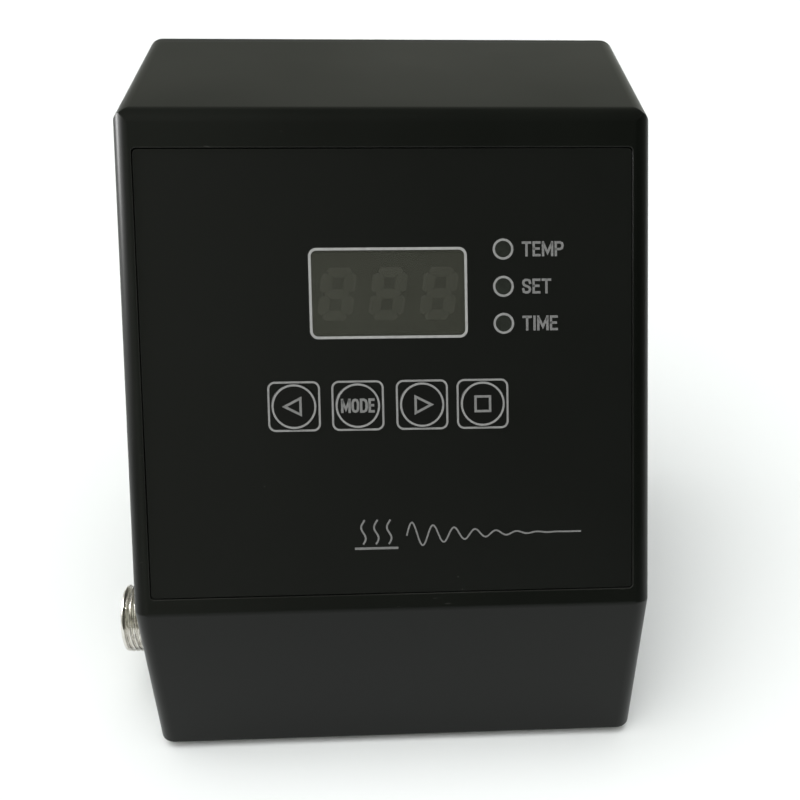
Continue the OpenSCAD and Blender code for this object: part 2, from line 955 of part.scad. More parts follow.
module triac() {
    color([0.12, 0.12, 0.12])
    translate([triac_face_x, sink_y, power_top + triac_z])
    difference() {
        union() {
            translate([-triac_t, -triac_w / 2, 0]) cube([triac_t, triac_w, triac_h]);
            translate([-triac_tab_t, -triac_w / 2, triac_h - 1])
                cube([triac_tab_t, triac_w, triac_tab_h]);
            for (i = [-1 : 1])
                translate([-2.8, i * triac_lead_pitch - 0.4, -triac_z])
                    cube([0.6, 0.8, triac_z + 0.5]);
        }
        translate([-triac_t - past, 0, triac_hole_z - triac_z])
            rotate([0, 90, 0]) cylinder(r = screw_r + 0.2, h = triac_t + 2 * past);
    }
}

module triac_screw() {
    color([0.75, 0.75, 0.76])
    translate([triac_face_x - triac_tab_t, sink_y, power_top + triac_hole_z])
        rotate([0, -90, 0])
        screw(triac_tab_t + sink_plate_t, head_r = 2.4, head_h = 1.5);
}

module smoothing_capacitor() {
    color([0.12, 0.16, 0.3])
    translate([power_x - 20, power_y - 2, power_top])
    rotate_extrude() {
        square([cap_r, cap_h - 1]);
        square([cap_r - 1, cap_h]);
        translate([cap_r - 1, cap_h - 1]) circle(1, $fn = 24);
    }
}

module suppression_capacitor() {
    color([0.75, 0.6, 0.15])
    translate([power_x, power_y + 1, power_top]) rounded_plate(8, 18, 14, 0.8);
}

module optocoupler() {
    color([0.1, 0.1, 0.1])
    translate([power_x + 4, power_y - 15, power_top]) {
        translate([0, 0, 0.5]) centred_box(6.4, 8.6, 3.4);
        for (x = [-1, 1])
            for (i = [-1 : 1])
                translate([x * 3.7, i * 2.54, 0]) centred_box(1, 0.6, 2.6);
    }
}

module pole_places() {
    for (i = [0 : block_poles - 1])
        translate([0, (i - (block_poles - 1) / 2) * block_pitch, 0]) children();
}

module terminal_block() {
    color([0.1, 0.35, 0.5])
    translate([block_x, block_y, power_top])
    difference() {
        centred_box(block_w, block_poles * block_pitch, block_h);
        pole_places() {
            translate([0, 0, block_h - block_screw_deep])
                cylinder(r = block_screw_r + pin_gap, h = block_screw_deep + past);
            for (x = [-1, 1])
                translate([x * block_w / 2, 0, block_hole_z]) rotate([0, 90, 0])
                    cylinder(r = 1.6, h = 5, center = true);
        }
    }
}

module terminal_screws() {
    color([0.78, 0.78, 0.8])
    translate([block_x, block_y, power_top + block_h - block_screw_deep])
        pole_places()
        difference() {
            cylinder(r = block_screw_r, h = 3.4);
            translate([0, 0, 2.8]) centred_box(4, 0.7, past);
        }
}

module power_header() {
    color([0.15, 0.15, 0.16])
    translate([header_x, power_header_y, power_top]) shrouded_header();
}

// ---------------------------------------------------------------- heater socket

module pin_places() {
    for (i = [0 : 3])
        rotate(45 + i * 90) translate([pin_ring_r, 0, 0]) children();
}

module socket_shell() {
    thread_from = socket_flange_t + 0.9;
    grooves = floor((socket_out - thread_from - 1.1) / thread_pitch);
    groove_deep = 0.62 * thread_pitch;
    color([0.8, 0.8, 0.79])
    on_left_wall()
    difference() {
        union() {
            cylinder(r = socket_flange_r, h = socket_flange_t);
            cylinder(d = socket_d, h = socket_out - 0.6);
            cylinder(r = socket_d / 2 - 0.6, h = socket_out);
            translate([0, 0, -socket_tail]) cylinder(r = socket_rear_r, h = socket_tail + 0.5);
        }
        translate([0, 0, -socket_tail - past])
            cylinder(r = socket_bore_r, h = socket_tail + socket_out + 2 * past);
        rotate_extrude($fn = 96)
            for (i = [0 : grooves])
                translate([socket_d / 2, thread_from + i * thread_pitch])
                    polygon([[-groove_deep, 0], [0.4, -0.56 * thread_pitch], [0.4, 0.56 * thread_pitch]]);
    }
}

module socket_insert() {
    color([0.09, 0.09, 0.09])
    on_left_wall()
    difference() {
        translate([0, 0, -insert_tail])
            cylinder(r = socket_bore_r - pin_gap, h = insert_tail + insert_front);
        pin_places() translate([0, 0, -insert_tail - past])
            cylinder(r = pin_r + pin_gap, h = insert_tail + insert_front + 2 * past);
    }
}

module socket_pins() {
    color([0.82, 0.7, 0.42])
    on_left_wall() pin_places() {
        translate([0, 0, -insert_tail - pin_back])
            cylinder(r = pin_r, h = insert_tail + pin_back + socket_out - 2);
        translate([0, 0, socket_out - 2]) sphere(pin_r);
    }
}

module socket_washer() {
    color([0.7, 0.7, 0.7])
    on_left_wall(-wall - washer_t)
    difference() {
        cylinder(r = washer_r, h = washer_t);
        translate([0, 0, -past]) cylinder(r = socket_hole_r, h = washer_t + 2 * past);
    }
}

module socket_nut() {
    color([0.78, 0.78, 0.77])
    on_left_wall(-wall - washer_t - nut_t)
    difference() {
        rotate(30) cylinder(d = nut_flats / cos(30), h = nut_t, $fn = 6);
        translate([0, 0, -past]) cylinder(r = socket_hole_r, h = nut_t + 2 * past);
    }
}

module heater_wires() {
    start = [socket_x + insert_tail + pin_back + solder_gap, socket_y, socket_up];
    pin_off = pin_ring_r * cos(45);
    color([0.7, 0.25, 0.2])
    for (side = [-1, 1])
        let (
            from = start + [0, side * pin_off, pin_off],
            to = [block_x - block_w / 2, block_y + (side > 0 ? 1 : 0) * block_pitch,
                  power_top + block_hole_z]
        )
        wire([
            from,
            from + [4, 0, 0],
            from + [12, 0, 2],
            [(from[0] + to[0]) / 2, (from[1] + to[1]) / 2, power_top + 17],
            to + [-10, 0, 7],
            to + [-4, 0, 1],
            to + [0.8, 0, 0]
        ], wire_d);
}

// ---------------------------------------------------------------- mains inlet

// The inlet's mating aperture: an oblong with two corners cut off
module aperture_outline(w, h) {
    cut = aperture_cut;
    polygon([
        [-w / 2, -h / 2], [w / 2, -h / 2], [w / 2, h / 2 - cut], [w / 2 - cut, h / 2],
        [-w / 2 + cut, h / 2], [-w / 2, h / 2 - cut]
    ]);
}

module blade_places() {
    for (place = [[-blade_off, blade_low], [blade_off, blade_low], [0, blade_high]])
        translate([place[0], aperture_z + place[1], 0]) children();
}

module inlet_blade(grow = 0) {
    translate([0, 0, -inlet_deep - blade_back])
        centred_box(blade_w + 2 * grow, blade_h + 2 * grow, inlet_deep + blade_back - 1.5);
}

module inlet_body() {
    color([0.1, 0.1, 0.1])
    on_rear(inlet_x, inlet_z)
    difference() {
        union() {
            rounded_plate(inlet_flange_w, inlet_flange_h, inlet_flange_t, 1.5);
            rounded_plate(ear_w, ear_h, inlet_flange_t, 5);
            translate([0, 0, -inlet_deep]) rounded_plate(inlet_w, inlet_h, inlet_deep + 0.5, 0.8);
        }
        translate([0, aperture_z, inlet_flange_t - aperture_deep])
            linear_extrude(aperture_deep + past) aperture_outline(aperture_w, aperture_h);
        blade_places() translate([0, 0, -past]) inlet_blade(pin_gap);
        translate([0, drawer_z, inlet_flange_t - drawer_deep - 0.6])
            centred_box(drawer_w + 0.4, drawer_h + 0.4, drawer_deep + past);
        translate([0, rocker_z, inlet_flange_t - rocker_pit_deep])
            centred_box(rocker_pit_w, rocker_pit_h, rocker_pit_deep + past);
        translate([0, rocker_z, inlet_flange_t - rocker_pivot_y]) rotate([90, 0, 0])
            cylinder(r = rocker_stub_r + pin_gap, h = rocker_pit_h + 2 * rocker_stub + 0.4,
                     center = true);
        for (x = [-1, 1])
            translate([x * ear_screw_x, 0, -past]) {
                cylinder(r = screw_r + 0.2, h = inlet_flange_t + 2 * past);
                translate([0, 0, inlet_flange_t - ear_t_left + past])
                    cylinder(r = screw_head_r + 0.3, h = 3);
            }
    }
}

module inlet_blades() {
    color([0.8, 0.78, 0.7])
    on_rear(inlet_x, inlet_z) blade_places() inlet_blade();
}

module inlet_screws() {
    color([0.75, 0.75, 0.76])
    for (x = [-1, 1])
        on_rear(inlet_x + x * ear_screw_x, inlet_z, inlet_flange_t - ear_t_left)
            screw(7, head_h = ear_t_left);
}

module fuse_drawer() {
    color([0.13, 0.13, 0.13])
    on_rear(inlet_x, inlet_z + drawer_z, inlet_flange_t)
    difference() {
        union() {
            translate([0, 0, -drawer_deep]) centred_box(drawer_w, drawer_h, drawer_deep);
            rounded_plate(drawer_w + 2, drawer_h + 0.6, drawer_lip, 0.8);
        }
        translate([0, 0, -fuse_len - fuse_in - 0.2])
            cylinder(r = fuse_r + 0.08, h = fuse_len + 0.4);
        translate([0, fuse_r, -fuse_len - fuse_in - 0.2])
            centred_box(2 * fuse_r, 2 * fuse_r, fuse_len + 0.4);
        translate([0, drawer_h / 2 + 0.4, drawer_lip - 0.7]) centred_box(9, 2.4, past);
    }
}

module fuse() {
    color([0.8, 0.82, 0.84])
    on_rear(inlet_x, inlet_z + drawer_z, inlet_flange_t - fuse_in - fuse_len) {
        cylinder(r = fuse_r, h = fuse_cap);
        cylinder(r = fuse_r - 0.25, h = fuse_len);
        translate([0, 0, fuse_len - fuse_cap]) cylinder(r = fuse_r, h = fuse_cap);
    }
}

module power_rocker() {
    wing = rocker_w / 2;
    color([0.12, 0.12, 0.12])
    on_rear(inlet_x, inlet_z + rocker_z, inlet_flange_t - rocker_pivot_y)
        rotate([0, rocker_swing / 2, 0]) rotate([90, 0, 0]) {
            translate([0, 0, -rocker_h / 2]) linear_extrude(rocker_h)
                polygon([
                    [-wing, 4.6], [-wing / 2, 3.7], [0, 3.4], [wing / 2, 3.7], [wing, 4.6],
                    [wing - 0.6, 1.2], [wing * 0.6, -2.6], [wing * 0.25, -4.4],
                    [-wing * 0.25, -4.4], [-wing * 0.6, -2.6], [-wing + 0.6, 1.2]
                ]);
            cylinder(r = rocker_stub_r, h = rocker_h + 2 * rocker_stub, center = true);
        }
}

module mains_wires() {
    color([0.2, 0.3, 0.6])
    for (side = [-1, 1])
        let (
            from = [inlet_x + side * blade_off, back_y - inlet_deep - blade_back - solder_gap,
                    inlet_z + aperture_z + blade_low],
            to = [block_x + block_w / 2, block_y + (side > 0 ? -1 : -2) * block_pitch,
                  power_top + block_hole_z]
        )
        wire([
            from,
            from + [0, -4, 0],
            from + [-1, -12, -4],
            [(from[0] + to[0]) / 2 + 2, from[1] - 22, (from[2] + to[2]) / 2 + 2],
            [(from[0] + to[0]) / 2 - 3, to[1] + 8, to[2] + 12],
            to + [7, 1, 3],
            to + [3, 0, 0],
            to + [-0.8, 0, 0]
        ], wire_d);
}

housing();
rear_panel();
base_plate();
rear_screws();
base_screws();
rubber_feet();
face_overlay();
display_window();
indicator_lenses();
key_left();
key_mode();
key_right();
key_stop();
plunger_left();
plunger_mode();
plunger_right();
plunger_stop();
switch_bodies();
control_board();
control_board_screws();
display_module();
display_segments();
indicator_leds();
controller_chip();
buzzer();
control_header();
ribbon_cable();
power_board();
board_standoffs();
power_board_screws();
transformer_core();
transformer_coil();
heat_sink();
triac();
triac_screw();
smoothing_capacitor();
suppression_capacitor();
optocoupler();
terminal_block();
terminal_screws();
power_header();
socket_shell();
socket_insert();
socket_pins();
socket_washer();
socket_nut();
heater_wires();
inlet_body();
inlet_blades();
inlet_screws();
fuse_drawer();
fuse();
power_rocker();
mains_wires();
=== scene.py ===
import json
import math

import bpy
from mathutils import Matrix, Vector


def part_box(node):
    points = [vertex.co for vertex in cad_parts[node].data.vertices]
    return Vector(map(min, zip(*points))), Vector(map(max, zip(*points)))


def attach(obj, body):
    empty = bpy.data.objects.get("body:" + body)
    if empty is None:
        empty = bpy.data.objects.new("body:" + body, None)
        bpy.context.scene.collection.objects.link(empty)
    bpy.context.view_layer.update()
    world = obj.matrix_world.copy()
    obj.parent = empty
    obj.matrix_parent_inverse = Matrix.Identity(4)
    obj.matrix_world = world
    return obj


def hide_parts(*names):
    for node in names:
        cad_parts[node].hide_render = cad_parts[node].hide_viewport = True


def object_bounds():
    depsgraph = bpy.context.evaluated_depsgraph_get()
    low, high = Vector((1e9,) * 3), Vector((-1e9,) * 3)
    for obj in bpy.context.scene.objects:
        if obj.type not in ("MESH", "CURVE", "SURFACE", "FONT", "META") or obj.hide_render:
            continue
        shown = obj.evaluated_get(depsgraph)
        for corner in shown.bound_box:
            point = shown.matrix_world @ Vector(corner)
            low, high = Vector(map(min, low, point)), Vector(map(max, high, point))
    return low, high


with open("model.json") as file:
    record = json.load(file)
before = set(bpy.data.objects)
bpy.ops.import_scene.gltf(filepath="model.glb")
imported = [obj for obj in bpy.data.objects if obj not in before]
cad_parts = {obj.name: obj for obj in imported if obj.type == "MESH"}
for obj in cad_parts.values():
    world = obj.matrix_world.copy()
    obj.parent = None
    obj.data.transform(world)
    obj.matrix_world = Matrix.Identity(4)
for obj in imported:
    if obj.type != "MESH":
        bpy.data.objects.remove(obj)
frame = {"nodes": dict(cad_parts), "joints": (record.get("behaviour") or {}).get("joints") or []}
cad_low, cad_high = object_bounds()

# ---------------------------------------------------------------- housing
# A one-piece injection-moulded hood in satin black plastic, open at the back
# and underneath. Its faces have a fine spark-eroded grain, and its edges are
# painted lighter: partly rubbed pale by handling, partly a painted highlight.

MM = 0.001

hood_low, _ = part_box("housing")
inward = Vector(next(j["axis"] for j in frame["joints"] if j["name"] == "mode_key_press"))
across = Vector((1, 0, 0))
up_face = across.cross(inward).normalized()
window_low, window_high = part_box("display_window")
display_centre = (window_low + window_high) / 2
WINDOW_HALF_THICK = 0.4 * MM


def on_face(u, v, out=0.0):
    """The point u right of, v above and out in front of the display window's face."""
    return display_centre + across * u + up_face * v - inward * (out + WINDOW_HALF_THICK)


def new_material(name):
    """A material with an empty Principled shader, its tree and that shader."""
    material = bpy.data.materials.new(name)
    material.use_nodes = True
    tree = material.node_tree
    return material, tree, tree.nodes["Principled BSDF"]


def join(tree, source, target):
    tree.links.new(source, target)


def math_node(tree, operation, first, second):
    """A Math node whose two inputs are sockets or plain numbers."""
    node = tree.nodes.new("ShaderNodeMath")
    node.operation = operation
    for socket, value in zip(node.inputs, (first, second)):
        if isinstance(value, (int, float)):
            socket.default_value = value
        else:
            join(tree, value, socket)
    return node.outputs[0]


def mix_colour(tree, share, low, high):
    """A Mix node from colour low to colour high; either may be a socket."""
    node = tree.nodes.new("ShaderNodeMix")
    node.data_type = "RGBA"
    factor, first, second = node.inputs[0], node.inputs[6], node.inputs[7]
    join(tree, share, factor)
    for socket, value in ((first, low), (second, high)):
        if isinstance(value, tuple):
            socket.default_value = (*value, 1.0)
        else:
            join(tree, value, socket)
    return node.outputs[2]


def noise(tree, coordinates, scale, detail=2.0, roughness=0.5):
    node = tree.nodes.new("ShaderNodeTexNoise")
    node.inputs["Scale"].default_value = scale
    node.inputs["Detail"].default_value = detail
    node.inputs["Roughness"].default_value = roughness
    join(tree, coordinates, node.inputs["Vector"])
    return node.outputs["Fac"]


def stretch(tree, value, low, high, to_low=0.0, to_high=1.0):
    """Maps value from low..high onto to_low..to_high, and holds it there."""
    node = tree.nodes.new("ShaderNodeMapRange")
    for name, number in (("From Min", low), ("From Max", high),
                         ("To Min", to_low), ("To Max", to_high)):
        node.inputs[name].default_value = number
    join(tree, value, node.inputs["Value"])
    return node.outputs["Result"]


def group_socket(group, name, side, kind="NodeSocketFloat", value=None):
    socket = group.interface.new_socket(name=name, in_out=side, socket_type=kind)
    if value is not None:
        socket.default_value = value


def edge_group():
    """Normals rounded at the edges, and a mask that is 1 on a sharp edge."""
    group = bpy.data.node_groups.new("soft_edges", "ShaderNodeTree")
    group_socket(group, "Radius", "INPUT", value=0.3 * MM)
    group_socket(group, "Normal", "OUTPUT", "NodeSocketVector")
    group_socket(group, "Edge", "OUTPUT")
    start = group.nodes.new("NodeGroupInput")
    end = group.nodes.new("NodeGroupOutput")
    bevel = group.nodes.new("ShaderNodeBevel")
    bevel.samples = 4
    join(group, start.outputs["Radius"], bevel.inputs["Radius"])
    geometry = group.nodes.new("ShaderNodeNewGeometry")
    compare = group.nodes.new("ShaderNodeVectorMath")
    compare.operation = "DOT_PRODUCT"
    join(group, bevel.outputs["Normal"], compare.inputs[0])
    join(group, geometry.outputs["Normal"], compare.inputs[1])
    join(group, bevel.outputs["Normal"], end.inputs["Normal"])
    join(group, stretch(group, compare.outputs["Value"], 0.995, 0.86), end.inputs["Edge"])
    return group


def grain_group():
    """A moulded or cast grain: its height, a slow cloud and a mask of fine scuffs."""
    group = bpy.data.node_groups.new("moulded_grain", "ShaderNodeTree")
    group_socket(group, "Grain Scale", "INPUT", value=2600.0)
    group_socket(group, "Cloud Scale", "INPUT", value=14.0)
    group_socket(group, "Scuff Scale", "INPUT", value=240.0)
    for name in ("Height", "Cloud", "Scuff"):
        group_socket(group, name, "OUTPUT")
    start = group.nodes.new("NodeGroupInput")
    end = group.nodes.new("NodeGroupOutput")
    place = group.nodes.new("ShaderNodeTexCoord").outputs["Object"]
    grain = group.nodes.new("ShaderNodeTexNoise")
    grain.inputs["Detail"].default_value = 3.0
    cloud = group.nodes.new("ShaderNodeTexNoise")
    cloud.inputs["Detail"].default_value = 3.0
    for node, scale in ((grain, "Grain Scale"), (cloud, "Cloud Scale")):
        join(group, place, node.inputs["Vector"])
        join(group, start.outputs[scale], node.inputs["Scale"])
    join(group, grain.outputs["Fac"], end.inputs["Height"])
    join(group, cloud.outputs["Fac"], end.inputs["Cloud"])
    # scuffs: thin streaks of a stretched noise, kept only where a second one is high
    turn = group.nodes.new("ShaderNodeMapping")
    turn.inputs["Rotation"].default_value = (0.4, 0.9, 0.6)
    turn.inputs["Scale"].default_value = (1.0, 9.0, 1.0)
    join(group, place, turn.inputs["Vector"])
    streak = group.nodes.new("ShaderNodeTexNoise")
    streak.inputs["Detail"].default_value = 1.0
    join(group, turn.outputs["Vector"], streak.inputs["Vector"])
    join(group, start.outputs["Scuff Scale"], streak.inputs["Scale"])
    rare = stretch(group, streak.outputs["Fac"], 0.74, 0.8)
    where = stretch(group, noise(group, place, 31.0), 0.56, 0.62)
    join(group, math_node(group, "MULTIPLY", rare, where), end.inputs["Scuff"])
    return group


soft_edges = edge_group()
moulded_grain = grain_group()


def use_group(tree, group, **values):
    """Places a node group and sets its named inputs, whose names may hold spaces."""
    node = tree.nodes.new("ShaderNodeGroup")
    node.node_tree = group
    for name, value in values.items():
        node.inputs[name.replace("_", " ")].default_value = value
    return node


def moulded_plastic(name, colour, worn_and_highlight, roughness, grain=2600.0, depth=0.02 * MM,
                    edge=0.3 * MM, cloud=0.15, scuffs=0.5, specular=0.5):
    """Moulded plastic: grain, slow changes of tone, lighter edges (partly rubbed pale by
    handling, partly a painted highlight), fine scuffs.
    """
    material, tree, shader = new_material(name)
    edges = use_group(tree, soft_edges, Radius=edge)
    surface = use_group(tree, moulded_grain, Grain_Scale=grain)
    darker = tuple(c * (1 - cloud) for c in colour)
    lighter = tuple(c * (1 + cloud) for c in colour)
    tone = mix_colour(tree, stretch(tree, surface.outputs["Cloud"], 0.35, 0.65), darker, lighter)
    # Edges painted lighter: partly rubbed pale by handling, partly a painted highlight.
    wear_and_highlight = math_node(tree, "MULTIPLY", edges.outputs["Edge"],
                     stretch(tree, surface.outputs["Cloud"], 0.4, 0.6, 0.25, 0.7))
    scuffed = math_node(tree, "MULTIPLY", surface.outputs["Scuff"], scuffs)
    marks = math_node(tree, "MAXIMUM", wear_and_highlight, scuffed)
    join(tree, mix_colour(tree, marks, tone, worn_and_highlight), shader.inputs["Base Color"])
    rough = stretch(tree, surface.outputs["Cloud"], 0.3, 0.7, roughness - 0.05, roughness + 0.05)
    join(tree, rough, shader.inputs["Roughness"])
    bump = tree.nodes.new("ShaderNodeBump")
    bump.inputs["Strength"].default_value = 0.35
    bump.inputs["Distance"].default_value = depth
    join(tree, surface.outputs["Height"], bump.inputs["Height"])
    join(tree, edges.outputs["Normal"], bump.inputs["Normal"])
    join(tree, bump.outputs["Normal"], shader.inputs["Normal"])
    shader.inputs["Specular IOR Level"].default_value = specular
    return material


def finish_node(node, material):
    """Gives a carried-over CAD node one material."""
    data = frame["nodes"][node].data
    data.materials.clear()
    data.materials.append(material)


# Its second colour is the lighter edge colour: partly handling marks, partly a painted highlight.
finish_node("housing", moulded_plastic(
    "housing_black", (0.0029, 0.0036, 0.0027), (0.045, 0.046, 0.042), 0.34, specular=0.19,
    edge=0.5 * MM))

# ---------------------------------------------------------------- face film
# A printed polycarbonate film let into a shallow recess of the sloped face,
# finely textured so it barely shines. Its grey print is a display frame,
# three lamp rings with their words, key surrounds and a small ornament.

FILM_FACE = 0.0
INK = 0.03 * MM
PEN = 0.6 * MM
LAMP_U = 28.3 * MM
LAMP_VS = [v * MM for v in (10.4, 1.4, -7.6)]
LAMP_RING_RADIUS = 2.27 * MM
LAMP_RING_PEN = 0.56 * MM
FRAME_SIZE = (37.95 * MM, 21.3 * MM)
SURROUND_SIZE = (12.35 * MM, 11.8 * MM)
WORD_START = 32.9 * MM
WORD_HEIGHT = 3.65 * MM
LETTER_GAP = 0.3 * MM
KEY_V = -27.25 * MM
KEY_US = [u * MM for u in (-23.6, -8.0, 7.8, 22.8)]


def textured_film(name, colour, dust_and_highlight, roughness=0.5, specular=0.5):
    """Fine embossed film with a velvet bump, faint handling smears, dust specks and a painted
    highlight along its edges.
    """
    material, tree, shader = new_material(name)
    place = tree.nodes.new("ShaderNodeTexCoord").outputs["Object"]
    edges = use_group(tree, soft_edges, Radius=0.12 * MM)
    dots = tree.nodes.new("ShaderNodeTexVoronoi")
    dots.inputs["Scale"].default_value = 190.0
    join(tree, place, dots.inputs["Vector"])
    speck = stretch(tree, dots.outputs["Distance"], 0.045, 0.03)
    rare = stretch(tree, noise(tree, place, 23.0), 0.6, 0.63)
    specks = math_node(tree, "MULTIPLY", speck, rare)
    smear = stretch(tree, noise(tree, place, 9.0, 4.0, 0.6), 0.35, 0.7)
    tone = mix_colour(tree, smear, colour, tuple(c * 1.35 for c in colour))
    # Dust specks, and a painted highlight that lightens the edges.
    marks = math_node(tree, "MAXIMUM", math_node(tree, "MULTIPLY", specks, 0.5),
                      math_node(tree, "MULTIPLY", edges.outputs["Edge"], 0.8))
    join(tree, mix_colour(tree, marks, tone, dust_and_highlight), shader.inputs["Base Color"])
    join(tree, stretch(tree, smear, 0.0, 1.0, roughness - 0.04, roughness + 0.06),
         shader.inputs["Roughness"])
    bump = tree.nodes.new("ShaderNodeBump")
    bump.inputs["Strength"].default_value = 0.3
    bump.inputs["Distance"].default_value = 0.01 * MM
    join(tree, noise(tree, place, 5200.0, 1.0), bump.inputs["Height"])
    join(tree, edges.outputs["Normal"], bump.inputs["Normal"])
    join(tree, bump.outputs["Normal"], shader.inputs["Normal"])
    shader.inputs["Specular IOR Level"].default_value = specular
    return material


def screen_ink(name, colour):
    """Screen-printed ink: a little uneven in cover, dull, with a fine tooth."""
    material, tree, shader = new_material(name)
    place = tree.nodes.new("ShaderNodeTexCoord").outputs["Object"]
    cover = stretch(tree, noise(tree, place, 900.0, 3.0, 0.7), 0.3, 0.7)
    thin = tuple(c * 0.78 for c in colour)
    join(tree, mix_colour(tree, cover, thin, colour), shader.inputs["Base Color"])
    join(tree, stretch(tree, cover, 0.0, 1.0, 0.7, 0.55), shader.inputs["Roughness"])
    bump = tree.nodes.new("ShaderNodeBump")
    bump.inputs["Strength"].default_value = 0.2
    bump.inputs["Distance"].default_value = 0.006 * MM
    join(tree, cover, bump.inputs["Height"])
    join(tree, bump.outputs["Normal"], shader.inputs["Normal"])
    shader.inputs["Specular IOR Level"].default_value = 0.3
    return material


def add_piece(name, points, faces, material, body, slot, replaced=(), crease=None):
    """Adds a mesh piece, hands it to its body, and hides the CAD nodes it stands for."""
    mesh = bpy.data.meshes.new(name)
    mesh.from_pydata([tuple(p) for p in points], [], faces)
    if crease is not None:
        mesh.polygons.foreach_set("use_smooth", [True] * len(mesh.polygons))
        mesh.set_sharp_from_angle(angle=math.radians(crease))
    mesh.materials.append(material)
    piece = bpy.data.objects.new(name, mesh)
    bpy.context.scene.collection.objects.link(piece)
    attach(piece, body)
    if replaced:
        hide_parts(*replaced)
    return piece


def stroke(path, width, closed=False):
    """Corners and faces of one printed line, in flat (u, v, height) coordinates."""
    count = len(path)
    corners, faces = [], []
    if not closed:
        path = list(path)
        for end, beside in ((0, 1), (-1, -2)):
            run = Vector(path[end]) - Vector(path[beside])
            path[end] = tuple(Vector(path[end]) + run.normalized() * width / 2)
    for i, (u, v) in enumerate(path):
        before = path[i - 1] if closed or i else path[i]
        after = path[(i + 1) % count] if closed or i < count - 1 else path[i]
        come = Vector((u - before[0], v - before[1]))
        go = Vector((after[0] - u, after[1] - v))
        come = come.normalized() if come.length else go.normalized()
        go = go.normalized() if go.length else come
        middle = (come + go).normalized()
        side = Vector((-middle.y, middle.x))
        reach = width / 2 / max(0.45, side.dot(Vector((-come.y, come.x))))
        for share, height in ((1, 0), (0.93, 1), (-0.93, 1), (-1, 0)):
            corners.append((u + side.x * reach * share, v + side.y * reach * share, height))
    for i in range(count if closed else count - 1):
        a, b = 4 * i, 4 * ((i + 1) % count)
        faces += [(a + k, a + (k + 1) % 4, b + (k + 1) % 4, b + k) for k in range(4)]
    if not closed:
        last = 4 * (count - 1)
        faces += [(3, 2, 1, 0), (last, last + 1, last + 2, last + 3)]
    return corners, faces


def arc(u, v, radius, start, end, steps=8):
    turns = [math.radians(start + (end - start) * i / steps) for i in range(steps + 1)]
    return [(u + radius * math.cos(t), v + radius * math.sin(t)) for t in turns]


def ring(u, v, radius):
    return arc(u, v, radius, 0, 355, 71)


def rounded_frame(u, v, width, height, radius):
    """The corners, in order, of a frame with rounded corners centred on (u, v)."""
    path = []
    for turn, (right, top) in enumerate(((1, 1), (-1, 1), (-1, -1), (1, -1))):
        path += arc(u + right * (width / 2 - radius), v + top * (height / 2 - radius),
                    radius, 90 * turn, 90 * turn + 90)
    return path


def print_lines(name, lines, material, body, slot, face=FILM_FACE):
    """Lines, each (path, width, closed), as one thin print on the sloped face."""
    points, faces = [], []
    for path, width, closed in lines:
        corners, strips = stroke(path, width, closed)
        faces += [tuple(i + len(points) for i in strip) for strip in strips]
        points += [on_face(u, v, face + INK * height) for u, v, height in corners]
    return add_piece(name, points, faces, material, body, slot)


LETTERS = {
    "T": [[(0, 1), (1, 1)], [(0.5, 1), (0.5, 0)]],
    "E": [[(1, 1), (0, 1), (0, 0), (1, 0)], [(0, 0.52), (0.85, 0.52)]],
    "M": [[(0, 0), (0, 1)], [(0.04, 0.92), (0.5, 0.2), (0.96, 0.92)], [(1, 1), (1, 0)]],
    "P": [[(0, 0), (0, 1), (0.6, 1), (0.9, 0.93), (1, 0.75), (0.9, 0.55), (0.6, 0.47),
           (0, 0.47)]],
    "S": [[(1, 0.76), (0.92, 0.94), (0.6, 1), (0.3, 0.99), (0.06, 0.9), (0, 0.74),
           (0.12, 0.59), (0.5, 0.5), (0.88, 0.41), (1, 0.26), (0.94, 0.1), (0.7, 0.01),
           (0.38, 0), (0.08, 0.06), (0, 0.25)]],
    "I": [[(0.5, 0), (0.5, 1)]],
    "O": [[(0.5, 1), (0.2, 0.95), (0.02, 0.78), (0, 0.5), (0.02, 0.22), (0.2, 0.05),
           (0.5, 0), (0.8, 0.05), (0.98, 0.22), (1, 0.5), (0.98, 0.78), (0.8, 0.95),
           (0.5, 1)]],
    "D": [[(0, 0), (0, 1), (0.5, 1), (0.85, 0.92), (1, 0.7), (1, 0.3), (0.85, 0.08),
           (0.5, 0), (0, 0)]],
}


def word(text, widths, start, v, height, gap, pen):
    """Stroke letters from u = start, centred on v, each with its own width."""
    lines, u = [], start
    for letter, width in zip(text, widths):
        for path in LETTERS[letter]:
            closed = path[0] == path[-1]
            spots = [(u + pen / 2 + x * (width - pen), v - height / 2 + pen / 2
                      + y * (height - pen)) for x, y in (path[:-1] if closed else path)]
            lines.append((spots, pen, closed))
        u += width + gap
    return lines


# Its second colour serves the dust specks and the painted edge highlight.
finish_node("face_overlay", textured_film(
    "face_film", (0.0021, 0.0026, 0.002), (0.055, 0.057, 0.052), specular=0.25))

line_ink = screen_ink("line_ink", (0.36, 0.36, 0.36))
word_ink = screen_ink("word_ink", (0.19, 0.19, 0.19))
print_lines("display_frame_print", [
    (rounded_frame(0.1 * MM, 0.02 * MM, *FRAME_SIZE, 1.7 * MM), 0.65 * MM, True)],
    line_ink, "console", "overlay_film")
ring_ink = screen_ink("ring_ink", (0.27, 0.27, 0.27))
print_lines("lamp_ring_prints", [
    (ring(LAMP_U, v, LAMP_RING_RADIUS), LAMP_RING_PEN, True) for v in LAMP_VS],
    ring_ink, "console", "overlay_film")
print_lines("key_surround_prints", [
    (rounded_frame(u, KEY_V, *SURROUND_SIZE, 1.6 * MM), 0.5 * MM, True)
    for u in KEY_US], ring_ink, "console", "overlay_film")

words = []
for text, widths, v in (("TEMP", (2.35, 2.0, 2.85, 2.3), LAMP_VS[0]),
                        ("SET", (2.25, 2.0, 2.35), LAMP_VS[1]),
                        ("TIME", (2.35, 0.7, 2.85, 2.0), LAMP_VS[2])):
    words += word(text, [w * MM for w in widths], WORD_START, v, WORD_HEIGHT, LETTER_GAP, PEN)
print_lines("lamp_words", words, word_ink, "console", "overlay_film")


